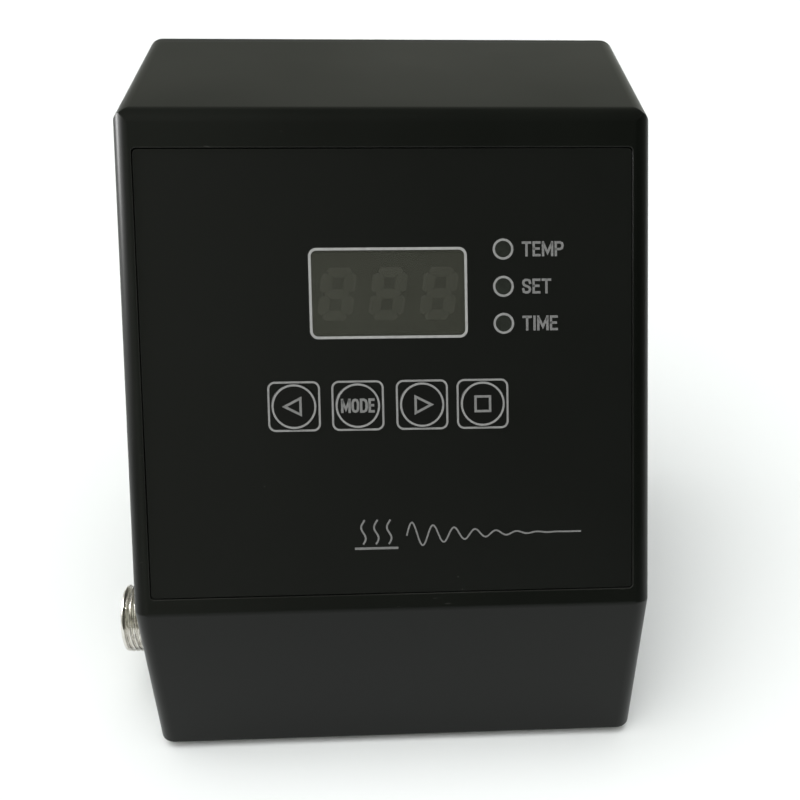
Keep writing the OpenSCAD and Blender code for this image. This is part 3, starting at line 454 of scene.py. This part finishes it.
def ornament():
    """Three rising heat waves over a bar, then a ripple that settles into a thin rule."""
    wave_us, wave_foot, bar_v = (-7.4, -4.2, -1.0), -61.6, -62.8
    ripple_start, ripple_long, ripple_v, ripple_high, steps = 3.4, 43.6, -59.6, 3.3, 220
    lines = []
    for u in wave_us:
        path = [((u + 0.55 * math.sin(i * 0.42)) * MM, (wave_foot + 0.36 * i) * MM)
                for i in range(17)]
        lines.append((path, 0.46 * MM, False))
    lines.append(([(-9.3 * MM, bar_v * MM), (0.9 * MM, bar_v * MM)], 0.6 * MM, False))
    ripple = []
    for i in range(steps + 1):
        along = i / steps
        height = ripple_high * (1 - along) ** 2.2
        ripple.append(((ripple_start + ripple_long * along) * MM,
                       (ripple_v + height * math.sin(along * 52)) * MM))
    lines.append((ripple, 0.42 * MM, False))
    return lines


print_lines("ornament_print", ornament(), word_ink, "console", "overlay_film")

# ---------------------------------------------------------------- display window and lamps
# The window is a smoked acrylic pane through which the three unlit digits
# just show; the lamps behind it are small dark lenses.


def tinted_pane(name, colour, alpha, roughness=0.22):
    """Smoked acrylic: see-through, faintly smeared, softly glossy."""
    material, tree, shader = new_material(name)
    place = tree.nodes.new("ShaderNodeTexCoord").outputs["Object"]
    edges = use_group(tree, soft_edges, Radius=0.15 * MM)
    smear = stretch(tree, noise(tree, place, 60.0, 4.0, 0.6), 0.3, 0.7)
    join(tree, mix_colour(tree, smear, tuple(c * 0.9 for c in colour), colour),
         shader.inputs["Base Color"])
    join(tree, stretch(tree, smear, 0.0, 1.0, roughness, roughness + 0.1),
         shader.inputs["Roughness"])
    join(tree, stretch(tree, smear, 0.0, 1.0, alpha - 0.03, alpha + 0.03),
         shader.inputs["Alpha"])
    join(tree, edges.outputs["Normal"], shader.inputs["Normal"])
    return material


finish_node("display_window", tinted_pane("smoked_window", (0.052, 0.054, 0.042), 0.55, 0.3))
finish_node("indicator_lenses", tinted_pane("lamp_lens", (0.021, 0.024, 0.02), 0.85, 0.15))
finish_node("display_module", moulded_plastic(
    "display_case", (0.006, 0.006, 0.0055), (0.05, 0.05, 0.05), 0.5, 3200, edge=0.15 * MM))


def milky_resin(name, colour, roughness=0.35):
    """Cast resin with faint bubbles and a slightly uneven tint."""
    material, tree, shader = new_material(name)
    place = tree.nodes.new("ShaderNodeTexCoord").outputs["Object"]
    edges = use_group(tree, soft_edges, Radius=0.12 * MM)
    bubbles = tree.nodes.new("ShaderNodeTexVoronoi")
    bubbles.inputs["Scale"].default_value = 1400.0
    join(tree, place, bubbles.inputs["Vector"])
    spots = stretch(tree, bubbles.outputs["Distance"], 0.14, 0.1)
    tint = stretch(tree, noise(tree, place, 240.0), 0.3, 0.7)
    body = mix_colour(tree, tint, tuple(c * 0.88 for c in colour), colour)
    join(tree, mix_colour(tree, math_node(tree, "MULTIPLY", spots, 0.3), body,
                          tuple(min(1, c * 1.4) for c in colour)), shader.inputs["Base Color"])
    join(tree, stretch(tree, tint, 0.0, 1.0, roughness, roughness + 0.08),
         shader.inputs["Roughness"])
    join(tree, edges.outputs["Normal"], shader.inputs["Normal"])
    return material


finish_node("display_segments", milky_resin("segment_resin", (0.3, 0.3, 0.26)))


def digit_bars():
    """The diffuser film over each digit: seven thin pointed bars with chamfered rims."""
    tall, wide, thick, lean = 12.7, 7.5, 2.4, math.tan(math.radians(8))
    pitch, gap = 12.5, 0.12
    layers = ((0.0, 1.19), (0.0, 1.1), (0.1, 1.05))
    half_tall, half_wide = (tall - thick) / 2, (wide - thick) / 2
    bars = [((0, y), 0, 2 * half_wide) for y in (-half_tall, 0, half_tall)]
    bars += [((x, y), 1, half_tall) for x in (-half_wide, half_wide)
             for y in (-half_tall / 2, half_tall / 2)]
    points, faces = [], []
    for digit in (-pitch, 0, pitch):
        for (x, y), upright, long in bars:
            reach, half = long / 2 - gap, thick / 2
            outline = [(-reach, 0), (half - reach, -half), (reach - half, -half), (reach, 0),
                       (reach - half, half), (half - reach, half)]
            first = len(points)
            for inset, depth in layers:
                for along, side in outline:
                    shrink = 1 - inset / half
                    step = (side * shrink, along - math.copysign(inset, along))
                    dx, dy = step if upright else (step[1], step[0])
                    place = (x + dx, y + dy)
                    points.append(on_face((digit + place[0] + place[1] * lean) * MM,
                                          place[1] * MM, -depth * MM))
            for layer in (0, 6):
                faces += [(first + layer + i, first + layer + (i + 1) % 6,
                           first + layer + 6 + (i + 1) % 6, first + layer + 6 + i)
                          for i in range(6)]
            faces.append(tuple(first + 12 + i for i in range(6)))
            faces.append(tuple(first + 5 - i for i in range(6)))
    return points, faces


add_piece("digit_diffusers", *digit_bars(), milky_resin("diffuser_film", (0.24, 0.24, 0.2)),
          "console", "segment_resin")
finish_node("indicator_leds", milky_resin("led_resin", (0.45, 0.12, 0.09), 0.15))

# ---------------------------------------------------------------- keys
# Four shallow domes of the same film, each with a grey ring just inside its
# rim and its own sign: a left arrow, a word, a right arrow and a square.

KEY_FACE = 0.45 * MM
SIGN_PEN = 0.6 * MM
KEY_RING_RADIUS = 5.2 * MM
KEY_RING_PEN = 0.5 * MM
# Its second colour serves the dust specks and the painted edge highlight.
key_material = textured_film("key_film", (0.0018, 0.002, 0.0018), (0.05, 0.05, 0.05), 0.45,
                             0.25)
sign_ink = screen_ink("sign_ink", (0.2, 0.2, 0.2))


def arrow(u, way):
    """A triangle whose tip points left (way = -1) or right (way = 1)."""
    tip, back, half = 2.1 * MM, 1.8 * MM, 2.0 * MM
    return [(u + way * tip, KEY_V), (u - way * back, KEY_V + half),
            (u - way * back, KEY_V - half)]


def square(u, side):
    half = side / 2
    return [(u - half, KEY_V - half), (u + half, KEY_V - half),
            (u + half, KEY_V + half), (u - half, KEY_V + half)]


key_signs = {
    "left": [(arrow(KEY_US[0] - 0.2 * MM, -1), SIGN_PEN, True)],
    "mode": word("MODE", [w * MM for w in (2.4, 1.95, 1.95, 1.55)], KEY_US[1] - 4.14 * MM,
                 KEY_V, 3.5 * MM, 0.14 * MM, 0.62 * MM),
    "right": [(arrow(KEY_US[2] + 0.2 * MM, 1), SIGN_PEN, True)],
    "stop": [(square(KEY_US[3], 3.6 * MM), SIGN_PEN, True)],
}
for key, u in zip(key_signs, KEY_US):
    finish_node("key_" + key, key_material)
    print_lines("key_sign_" + key, key_signs[key], sign_ink, key + "_key", "key_film", KEY_FACE)
    print_lines("key_ring_" + key, [(ring(u, KEY_V, KEY_RING_RADIUS), KEY_RING_PEN, True)],
                ring_ink, key + "_key", "key_film", KEY_FACE)

nylon = moulded_plastic("plunger_nylon", (0.03, 0.03, 0.03), (0.12, 0.12, 0.12), 0.4, 2000,
                        edge=0.15 * MM)
for key in key_signs:
    finish_node("plunger_" + key, nylon)

# ---------------------------------------------------------------- heater socket
# A nickel-plated turned socket on the left wall: a flange, a coarse outer
# thread with a smooth lip, and a black insert with four brass pins. A washer
# and a hexagon nut hold it from inside.

shell_low, shell_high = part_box("socket_shell")
SOCKET_AT = Vector((hood_low.x, (shell_low.y + shell_high.y) / 2,
                    (shell_low.z + shell_high.z) / 2))


def plated_metal(name, colour, tarnish, roughness, turned=0.0, edge=0.12 * MM, dirt=0.6):
    """Plated metal: turning marks round the X axis, haze, tarnish and a painted highlight on the
    edges.
    """
    material, tree, shader = new_material(name)
    place = tree.nodes.new("ShaderNodeTexCoord").outputs["Object"]
    edges = use_group(tree, soft_edges, Radius=edge)
    haze = stretch(tree, noise(tree, place, 160.0, 4.0, 0.6), 0.35, 0.7)
    stain = math_node(tree, "MULTIPLY", stretch(tree, noise(tree, place, 420.0, 3.0), 0.52, 0.7),
                      dirt)
    clean = mix_colour(tree, stain, colour, tarnish)
    # Edges painted lighter: a painted highlight.
    bright = tuple(min(1.0, c * 1.15) for c in colour)
    join(tree, mix_colour(tree, edges.outputs["Edge"], clean, bright),
         shader.inputs["Base Color"])
    join(tree, stretch(tree, haze, 0.0, 1.0, roughness, roughness + 0.12),
         shader.inputs["Roughness"])
    shader.inputs["Metallic"].default_value = 1.0
    lines = tree.nodes.new("ShaderNodeMapping")
    lines.inputs["Scale"].default_value = (4000.0, 60.0, 60.0)
    join(tree, place, lines.inputs["Vector"])
    marks = noise(tree, lines.outputs["Vector"], 1.0, 2.0)
    bump = tree.nodes.new("ShaderNodeBump")
    bump.inputs["Strength"].default_value = 0.1 + turned
    bump.inputs["Distance"].default_value = 0.004 * MM
    join(tree, marks, bump.inputs["Height"])
    join(tree, edges.outputs["Normal"], bump.inputs["Normal"])
    join(tree, bump.outputs["Normal"], shader.inputs["Normal"])
    return material


def threaded_shell():
    """One closed skin round the socket's axis; the thread climbs as the angle grows."""
    turns, pitch, crest, depth = 144, 1.25, 9.5, 0.78
    outline = [(-12.0, 7.6), (-12.0, 8.6), (-11.7, 8.95), (-0.01, 8.95), (0.0, 8.95),
               (0.0, 11.2), (0.3, 11.5), (2.1, 11.5), (2.4, 11.2), (2.4, 8.8)]
    thread = [(2.6 + 0.1 * i, None) for i in range(70)]
    lip = [(9.62, 9.25), (9.95, 9.38), (10.3, 9.25), (10.55, 8.95), (10.6, 8.6),
           (10.6, 7.9), (10.45, 7.65), (10.2, 7.6)]
    profile = outline + thread + lip
    points, faces = [], []
    for turn in range(turns):
        angle = 2 * math.pi * turn / turns
        for along, radius in profile:
            if radius is None:
                phase = (along / pitch - turn / turns) % 1.0
                slope = min(1.0, abs(phase - 0.5) / 0.38)
                fade = min(1.0, (along - 2.6) / 0.5, (9.55 - along) / 0.4)
                radius = crest - depth + (depth * (1 - slope ** 1.3)) * max(0.0, fade)
            points.append(SOCKET_AT + Vector((-along, radius * math.sin(angle),
                                              radius * math.cos(angle))) * MM)
    count = len(profile)
    for turn in range(turns):
        here, there = turn * count, (turn + 1) % turns * count
        for i in range(count):
            k = (i + 1) % count
            faces.append((here + i, there + i, there + k, here + k))
    return points, faces


nickel = plated_metal("bright_nickel", (0.74, 0.72, 0.68), (0.26, 0.24, 0.2), 0.17, 0.1)
add_piece("socket_thread", *threaded_shell(), nickel, "console", "nickel",
          ("socket_shell",), 38)
finish_node("socket_shell", nickel)
finish_node("socket_washer", nickel)
finish_node("socket_nut", nickel)
finish_node("socket_insert", moulded_plastic(
    "insert_black", (0.01, 0.01, 0.01), (0.06, 0.06, 0.06), 0.35, 2400, edge=0.2 * MM))
finish_node("socket_pins", plated_metal(
    "pin_brass", (0.78, 0.57, 0.25), (0.3, 0.18, 0.07), 0.2, 0.1))

# ---------------------------------------------------------------- rear panel and mains inlet
# A powder-coated steel sheet with two rows of vents closes the back. It
# carries the mains inlet, with its fuse drawer and a rocker below it.

powder = moulded_plastic("powder_coat", (0.009, 0.009, 0.0095), (0.05, 0.05, 0.05), 0.5,
                         1100, 0.03 * MM, 0.2 * MM, 0.12, 0.8)
finish_node("rear_panel", powder)
finish_node("inlet_body", moulded_plastic(
    "inlet_black", (0.008, 0.008, 0.008), (0.05, 0.05, 0.05), 0.34, 2400))
finish_node("fuse_drawer", moulded_plastic(
    "drawer_black", (0.012, 0.012, 0.012), (0.07, 0.07, 0.07), 0.3, 2400, edge=0.2 * MM))
finish_node("power_rocker", moulded_plastic(
    "rocker_black", (0.007, 0.007, 0.007), (0.05, 0.05, 0.05), 0.22, 1800, edge=0.35 * MM))
finish_node("inlet_blades", plated_metal(
    "blade_nickel", (0.7, 0.68, 0.62), (0.3, 0.27, 0.2), 0.18))


def wound_glass(name):
    """The fuse: a pale glass tube with metal end caps, told apart along its length."""
    material, tree, shader = new_material(name)
    place = tree.nodes.new("ShaderNodeTexCoord").outputs["Object"]
    parts = tree.nodes.new("ShaderNodeSeparateXYZ")
    join(tree, place, parts.inputs[0])
    low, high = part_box("fuse")
    middle = (low.y + high.y) / 2
    away = math_node(tree, "ABSOLUTE", math_node(tree, "SUBTRACT", parts.outputs["Y"], middle), 0)
    cap = stretch(tree, away, (high.y - low.y) / 2 - 5.2 * MM, (high.y - low.y) / 2 - 5.0 * MM)
    haze = stretch(tree, noise(tree, place, 300.0, 3.0), 0.3, 0.7)
    glass = mix_colour(tree, haze, (0.55, 0.6, 0.6), (0.7, 0.75, 0.75))
    join(tree, mix_colour(tree, cap, glass, (0.7, 0.68, 0.62)), shader.inputs["Base Color"])
    join(tree, cap, shader.inputs["Metallic"])
    join(tree, stretch(tree, haze, 0.0, 1.0, 0.08, 0.2), shader.inputs["Roughness"])
    return material


finish_node("fuse", wound_glass("fuse_glass"))

screw_steel = plated_metal("screw_zinc", (0.6, 0.6, 0.6), (0.25, 0.24, 0.21), 0.26, 0.1)
for node in ("rear_screws", "base_screws", "inlet_screws", "control_board_screws",
             "power_board_screws", "triac_screw", "terminal_screws"):
    finish_node(node, screw_steel)


def draped_mark(name, target, lines, material, body, slot):
    """Prints lines given as (x, z) on a face that looks to the rear, following its slope."""
    clear_y, rocker_y, sunk = 0.09, 0.062, 0.01 * MM
    points, faces = [], []
    surface = frame["nodes"][target]
    for path, width, closed in lines:
        corners, strips = stroke(path, width, closed)
        faces += [tuple(i + len(points) for i in strip) for strip in strips]
        for x, z, height in corners:
            hit, at, _, _ = surface.ray_cast(Vector((x, clear_y, z)), Vector((0, -1, 0)))
            points.append((x, (at.y if hit else rocker_y) + (INK * height - sunk), z))
    return add_piece(name, points, faces, material, body, slot)


rocker_low, rocker_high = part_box("power_rocker")
rocker_mid = (rocker_low.z + rocker_high.z) / 2
ON_X = 29.0 * MM
OFF_X = 40.2 * MM
MARK_PEN = 0.7 * MM
white_ink = screen_ink("white_ink", (0.75, 0.75, 0.75))
draped_mark("rocker_marks", "power_rocker", [
    ([(ON_X, rocker_mid - 2.2 * MM), (ON_X, rocker_mid + 2.2 * MM)], MARK_PEN, False),
    (ring(OFF_X, rocker_mid, 2.0 * MM), MARK_PEN, True)],
    white_ink, "rocker", "black_nylon")

# ---------------------------------------------------------------- base
# A bright zinc-plated sheet with vents closes the underside. Four soft rubber
# feet are held by stems that push through its holes.

zinc = plated_metal("zinc_sheet", (0.55, 0.56, 0.57), (0.36, 0.37, 0.38), 0.3, 0.05)
finish_node("base_plate", zinc)
finish_node("rubber_feet", moulded_plastic(
    "foot_rubber", (0.012, 0.012, 0.012), (0.05, 0.05, 0.05), 0.75, 1500, 0.04 * MM,
    0.4 * MM, 0.2, 1.0, 0.3))

# ---------------------------------------------------------------- control board
# A green laminate behind the face film with the key switches, the display
# module, the lamps, a controller chip, a buzzer and a cable header.


def laminate(name, mask, copper):
    """Solder mask over copper tracks that run along and across, with bare round pads."""
    material, tree, shader = new_material(name)
    place = tree.nodes.new("ShaderNodeTexCoord").outputs["Object"]
    edges = use_group(tree, soft_edges, Radius=0.1 * MM)
    cells = tree.nodes.new("ShaderNodeTexVoronoi")
    cells.distance = "MANHATTAN"
    cells.feature = "DISTANCE_TO_EDGE"
    cells.inputs["Scale"].default_value = 210.0
    cells.inputs["Randomness"].default_value = 0.55
    join(tree, place, cells.inputs["Vector"])
    tracks = stretch(tree, cells.outputs["Distance"], 0.09, 0.06)
    pads = tree.nodes.new("ShaderNodeTexVoronoi")
    pads.inputs["Scale"].default_value = 210.0
    pads.inputs["Randomness"].default_value = 0.55
    join(tree, place, pads.inputs["Vector"])
    dots = stretch(tree, pads.outputs["Distance"], 0.13, 0.11)
    lit = tuple(min(1, c * 1.8) for c in mask)
    greens = mix_colour(tree, tracks, mask, lit)
    join(tree, mix_colour(tree, dots, greens, copper), shader.inputs["Base Color"])
    join(tree, stretch(tree, dots, 0.0, 1.0, 0.32, 0.22), shader.inputs["Roughness"])
    join(tree, dots, shader.inputs["Metallic"])
    bump = tree.nodes.new("ShaderNodeBump")
    bump.inputs["Strength"].default_value = 0.5
    bump.inputs["Distance"].default_value = 0.03 * MM
    join(tree, math_node(tree, "MAXIMUM", tracks, dots), bump.inputs["Height"])
    join(tree, edges.outputs["Normal"], bump.inputs["Normal"])
    join(tree, bump.outputs["Normal"], shader.inputs["Normal"])
    return material


finish_node("control_board", laminate("control_laminate", (0.008, 0.07, 0.025),
                                      (0.75, 0.72, 0.65)))
finish_node("switch_bodies", moulded_plastic(
    "switch_black", (0.012, 0.012, 0.012), (0.06, 0.06, 0.06), 0.45, 2400, edge=0.15 * MM))
finish_node("controller_chip", moulded_plastic(
    "chip_epoxy", (0.01, 0.01, 0.011), (0.3, 0.3, 0.3), 0.5, 3000, 0.02 * MM, 0.1 * MM))
finish_node("buzzer", moulded_plastic(
    "buzzer_black", (0.008, 0.008, 0.008), (0.05, 0.05, 0.05), 0.3, 2400, edge=0.3 * MM))
header_plastic = moulded_plastic("header_black", (0.014, 0.014, 0.015), (0.07, 0.07, 0.07),
                                 0.42, 2400, edge=0.15 * MM)
finish_node("control_header", header_plastic)
finish_node("power_header", header_plastic)


def ribbed_cable(name, colour, groove_shade, first, spacing):
    """Flat cable: fine grooves between its conductors, painted darker as painted shade, and one
    red edge wire.
    """
    material, tree, shader = new_material(name)
    place = tree.nodes.new("ShaderNodeTexCoord").outputs["Object"]
    parts = tree.nodes.new("ShaderNodeSeparateXYZ")
    join(tree, place, parts.inputs[0])
    step = math_node(tree, "DIVIDE", math_node(tree, "SUBTRACT", parts.outputs["X"], first),
                     spacing)
    wave = math_node(tree, "PINGPONG", step, 0.5)
    # Painted shade: the valleys between conductors are coloured darker.
    gap = stretch(tree, wave, 0.12, 0.02)
    edge_wire = stretch(tree, step, 1.02, 0.98)
    haze = stretch(tree, noise(tree, place, 200.0, 3.0), 0.3, 0.7)
    vinyl = mix_colour(tree, haze, tuple(c * 0.9 for c in colour), colour)
    marked = mix_colour(tree, edge_wire, vinyl, (0.4, 0.03, 0.025))
    join(tree, mix_colour(tree, gap, marked, groove_shade), shader.inputs["Base Color"])
    join(tree, stretch(tree, haze, 0.0, 1.0, 0.4, 0.52), shader.inputs["Roughness"])
    bump = tree.nodes.new("ShaderNodeBump")
    bump.inputs["Distance"].default_value = 0.2 * MM
    join(tree, wave, bump.inputs["Height"])
    join(tree, bump.outputs["Normal"], shader.inputs["Normal"])
    return material


cable_low, cable_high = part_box("ribbon_cable")
# Its second colour is the painted shade between the conductors.
finish_node("ribbon_cable", ribbed_cable("ribbon_vinyl", (0.33, 0.34, 0.36), (0.15, 0.155, 0.17),
                                         cable_low.x, (cable_high.x - cable_low.x) / 14))

# ---------------------------------------------------------------- power board
# The mains board on brass pillars: transformer, triac on its heat sink, two
# capacitors, an optocoupler, a screw terminal block and the cable header.

finish_node("power_board", laminate("power_laminate", (0.012, 0.075, 0.03),
                                    (0.78, 0.74, 0.66)))
finish_node("board_standoffs", plated_metal(
    "standoff_brass", (0.72, 0.53, 0.24), (0.32, 0.2, 0.08), 0.24))


def striped(name, axis, spacing, first, second, roughness, metallic, depth):
    """Fine even layers along one axis: stacked sheets, wound tape or milled lines."""
    material, tree, shader = new_material(name)
    place = tree.nodes.new("ShaderNodeTexCoord").outputs["Object"]
    edges = use_group(tree, soft_edges, Radius=0.15 * MM)
    parts = tree.nodes.new("ShaderNodeSeparateXYZ")
    join(tree, place, parts.inputs[0])
    wave = math_node(tree, "PINGPONG",
                     math_node(tree, "DIVIDE", parts.outputs[axis], spacing), 0.5)
    line = stretch(tree, wave, 0.06, 0.16)
    haze = stretch(tree, noise(tree, place, 130.0, 4.0), 0.3, 0.7)
    body = mix_colour(tree, haze, tuple(c * 0.8 for c in second), second)
    join(tree, mix_colour(tree, line, first, body), shader.inputs["Base Color"])
    join(tree, stretch(tree, haze, 0.0, 1.0, roughness, roughness + 0.12),
         shader.inputs["Roughness"])
    shader.inputs["Metallic"].default_value = metallic
    bump = tree.nodes.new("ShaderNodeBump")
    bump.inputs["Strength"].default_value = 0.6
    bump.inputs["Distance"].default_value = depth
    join(tree, line, bump.inputs["Height"])
    join(tree, edges.outputs["Normal"], bump.inputs["Normal"])
    join(tree, bump.outputs["Normal"], shader.inputs["Normal"])
    return material


finish_node("transformer_core", striped("core_laminations", "Y", 0.5 * MM,
            (0.05, 0.045, 0.04), (0.3, 0.3, 0.31), 0.4, 0.9, 0.06 * MM))
finish_node("transformer_coil", striped("coil_tape", "Z", 4.2 * MM,
            (0.3, 0.2, 0.03), (0.62, 0.45, 0.07), 0.35, 0.0, 0.05 * MM))
finish_node("heat_sink", striped("milled_aluminium", "Z", 0.35 * MM,
            (0.6, 0.61, 0.62), (0.68, 0.69, 0.7), 0.34, 1.0, 0.01 * MM))
finish_node("triac", moulded_plastic(
    "triac_epoxy", (0.011, 0.011, 0.012), (0.3, 0.3, 0.3), 0.48, 3000, 0.02 * MM, 0.12 * MM))
finish_node("optocoupler", moulded_plastic(
    "opto_epoxy", (0.5, 0.5, 0.48), (0.7, 0.7, 0.68), 0.45, 3000, 0.02 * MM, 0.12 * MM))
finish_node("terminal_block", moulded_plastic(
    "terminal_nylon", (0.012, 0.11, 0.22), (0.1, 0.3, 0.45), 0.4, 2000, edge=0.2 * MM))
finish_node("suppression_capacitor", moulded_plastic(
    "film_capacitor", (0.62, 0.4, 0.03), (0.8, 0.62, 0.2), 0.35, 2600, edge=0.3 * MM))


def sleeved_capacitor(name, sleeve, stripe):
    """Shrink sleeve with a pale stripe down one side and a bare scored metal top."""
    material, tree, shader = new_material(name)
    place = tree.nodes.new("ShaderNodeTexCoord").outputs["Object"]
    edges = use_group(tree, soft_edges, Radius=0.2 * MM)
    parts = tree.nodes.new("ShaderNodeSeparateXYZ")
    join(tree, place, parts.inputs[0])
    low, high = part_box("smoothing_capacitor")
    top = stretch(tree, parts.outputs["Z"], high.z - 0.35 * MM, high.z - 0.25 * MM)
    side = stretch(tree, parts.outputs["X"], low.x + 0.9 * MM, low.x + 0.8 * MM)
    haze = stretch(tree, noise(tree, place, 220.0, 3.0), 0.3, 0.7)
    skin = mix_colour(tree, haze, tuple(c * 0.85 for c in sleeve), sleeve)
    wrapped = mix_colour(tree, side, skin, stripe)
    join(tree, mix_colour(tree, top, wrapped, (0.66, 0.66, 0.67)), shader.inputs["Base Color"])
    join(tree, top, shader.inputs["Metallic"])
    join(tree, stretch(tree, haze, 0.0, 1.0, 0.25, 0.36), shader.inputs["Roughness"])
    join(tree, edges.outputs["Normal"], shader.inputs["Normal"])
    return material


finish_node("smoothing_capacitor", sleeved_capacitor("capacitor_sleeve", (0.012, 0.02, 0.09),
                                                     (0.5, 0.5, 0.52)))


def wire_skin(name, colours):
    """Insulation with a soft sheen; the tint changes from one wire to the next."""
    material, tree, shader = new_material(name)
    place = tree.nodes.new("ShaderNodeTexCoord").outputs["Object"]
    edges = use_group(tree, soft_edges, Radius=0.1 * MM)
    island = tree.nodes.new("ShaderNodeNewGeometry").outputs["Random Per Island"]
    ramp = tree.nodes.new("ShaderNodeValToRGB")
    ramp.color_ramp.interpolation = "CONSTANT"
    stops = ramp.color_ramp.elements
    for i, colour in enumerate(colours):
        stop = stops[i] if i < 2 else stops.new(i / len(colours))
        stop.position = i / len(colours)
        stop.color = (*colour, 1)
    join(tree, island, ramp.inputs["Fac"])
    haze = stretch(tree, noise(tree, place, 350.0, 3.0), 0.3, 0.7)
    dusty = math_node(tree, "MULTIPLY", haze, 0.15)
    join(tree, mix_colour(tree, dusty, ramp.outputs["Color"], (0.4, 0.4, 0.38)),
         shader.inputs["Base Color"])
    join(tree, stretch(tree, haze, 0.0, 1.0, 0.35, 0.5), shader.inputs["Roughness"])
    join(tree, edges.outputs["Normal"], shader.inputs["Normal"])
    return material


finish_node("heater_wires", wire_skin("heater_insulation", (
    (0.5, 0.04, 0.03), (0.55, 0.52, 0.46), (0.03, 0.03, 0.03))))
finish_node("mains_wires", wire_skin("mains_insulation", (
    (0.2, 0.07, 0.03), (0.03, 0.08, 0.4), (0.1, 0.35, 0.05))))

# ---------------------------------------------------------------- studio
# A pale sheet of seamless paper, one soft light overhead and a tall softbox at
# the left, in a room that is dim above the camera.

FLOOR_SIZE = 12.0
CAMERA_LENS = 50.45
CAMERA_SHIFT = (-0.0846, 0.125)
CAMERA_STAND = Vector((0.0017, -0.24713, 0.13059))
WALL_LIGHT = 0.46
SIDE_LIGHT = 0.85
ROOM_LIGHT = 0.02
SUN_LIGHT = 3.0


def studio_floor():
    ground = cad_low.z
    mesh = bpy.data.meshes.new("studio_floor")
    half = FLOOR_SIZE / 2
    corners = [(-half, -half, ground), (half, -half, ground),
               (half, half, ground), (-half, half, ground)]
    mesh.from_pydata(corners, [], [(0, 1, 2, 3)])
    floor = bpy.data.objects.new("studio_floor", mesh)
    bpy.context.scene.collection.objects.link(floor)
    material, _, shader = new_material("seamless_paper")
    shader.inputs["Base Color"].default_value = (0.87, 0.89, 0.9, 1)
    shader.inputs["Roughness"].default_value = 0.8
    shader.inputs["Specular IOR Level"].default_value = 0.2
    mesh.materials.append(material)


def soft_light(name, at, target, size, power, colour=(1, 1, 1)):
    light = bpy.data.lights.new(name, "AREA")
    light.shape = "RECTANGLE"
    light.size, light.size_y = size
    light.energy = power
    light.color = colour
    lamp = bpy.data.objects.new(name, light)
    bpy.context.scene.collection.objects.link(lamp)
    lamp.location = at
    lamp.rotation_euler = (Vector(target) - Vector(at)).to_track_quat("-Z", "Y").to_euler()
    lamp.visible_diffuse = False


def studio_world():
    """Plain white to the camera. In reflections: a bright wall low behind the object,
    a paler left side, and a dim room overhead and behind the camera."""
    world = bpy.data.worlds.new("studio")
    bpy.context.scene.world = world
    world.use_nodes = True
    tree = world.node_tree
    tree.nodes.clear()
    place = tree.nodes.new("ShaderNodeTexCoord").outputs["Generated"]
    parts = tree.nodes.new("ShaderNodeSeparateXYZ")
    join(tree, place, parts.inputs[0])
    behind = stretch(tree, parts.outputs["Y"], -0.5, 0.8, 0.0, WALL_LIGHT)
    low = stretch(tree, parts.outputs["Z"], 0.25, 1.0, 1.0, 0.3)
    right = stretch(tree, parts.outputs["X"], -0.5, 0.4, 0.6, 1.1)
    wall = math_node(tree, "MULTIPLY", math_node(tree, "MULTIPLY", behind, low), right)
    left = stretch(tree, parts.outputs["X"], 0.12, -0.4, 0.0, SIDE_LIGHT)
    fade = stretch(tree, parts.outputs["X"], -0.45, -0.8, 1.0, 0.2)
    front = stretch(tree, parts.outputs["Y"], 0.5, -0.1, 0.05, 1.0)
    side = math_node(tree, "MULTIPLY", math_node(tree, "MULTIPLY", left, fade), front)
    level = math_node(tree, "ADD", wall, math_node(tree, "ADD", side, ROOM_LIGHT))
    glow = tree.nodes.new("ShaderNodeBackground")
    glow.inputs["Color"].default_value = (1.0, 1.03, 0.9, 1)
    join(tree, level, glow.inputs["Strength"])
    pale = tree.nodes.new("ShaderNodeBackground")
    pale.inputs["Color"].default_value = (1, 1, 1, 1)
    path = tree.nodes.new("ShaderNodeLightPath")
    pick = tree.nodes.new("ShaderNodeMixShader")
    join(tree, path.outputs["Is Camera Ray"], pick.inputs[0])
    join(tree, glow.outputs[0], pick.inputs[1])
    join(tree, pale.outputs[0], pick.inputs[2])
    out = tree.nodes.new("ShaderNodeOutputWorld")
    join(tree, pick.outputs[0], out.inputs[0])


def soft_sun():
    """Even light on the whole floor, from overhead and a little in front, with no glint."""
    light = bpy.data.lights.new("overhead", "SUN")
    light.energy = SUN_LIGHT
    light.angle = math.radians(70)
    lamp = bpy.data.objects.new("overhead", light)
    bpy.context.scene.collection.objects.link(lamp)
    lamp.rotation_euler = Vector((0.12, 0.2, -1)).to_track_quat("-Z", "Y").to_euler()
    lamp.visible_glossy = False


def studio_camera():
    """Looks down at the sloped face from in front, a little left of square."""
    pitch, roll, yaw = (math.radians(a) for a in (38.27, 1.56, 4.44))
    turn = (Matrix.Rotation(roll, 3, "Y") @ Matrix.Rotation(pitch, 3, "X")
            @ Matrix.Rotation(yaw, 3, "Z"))
    camera = bpy.data.cameras.new("studio_camera")
    camera.sensor_width = 36
    camera.lens = CAMERA_LENS
    camera.shift_x, camera.shift_y = CAMERA_SHIFT
    viewer = bpy.data.objects.new("studio_camera", camera)
    bpy.context.scene.collection.objects.link(viewer)
    facing = turn.transposed() @ Matrix.Rotation(math.radians(90), 3, "X")
    stand = Matrix.Translation(display_centre + CAMERA_STAND)
    viewer.matrix_world = stand @ facing.to_4x4()
    bpy.context.scene.camera = viewer


studio_floor()
studio_world()
soft_sun()
soft_light("left_softbox", (-1.09, 0.2, 0.5), (0, 0, 0.1), (0.18, 0.4), 26.0)
studio_camera()
bpy.context.scene.view_settings.view_transform = "Standard"
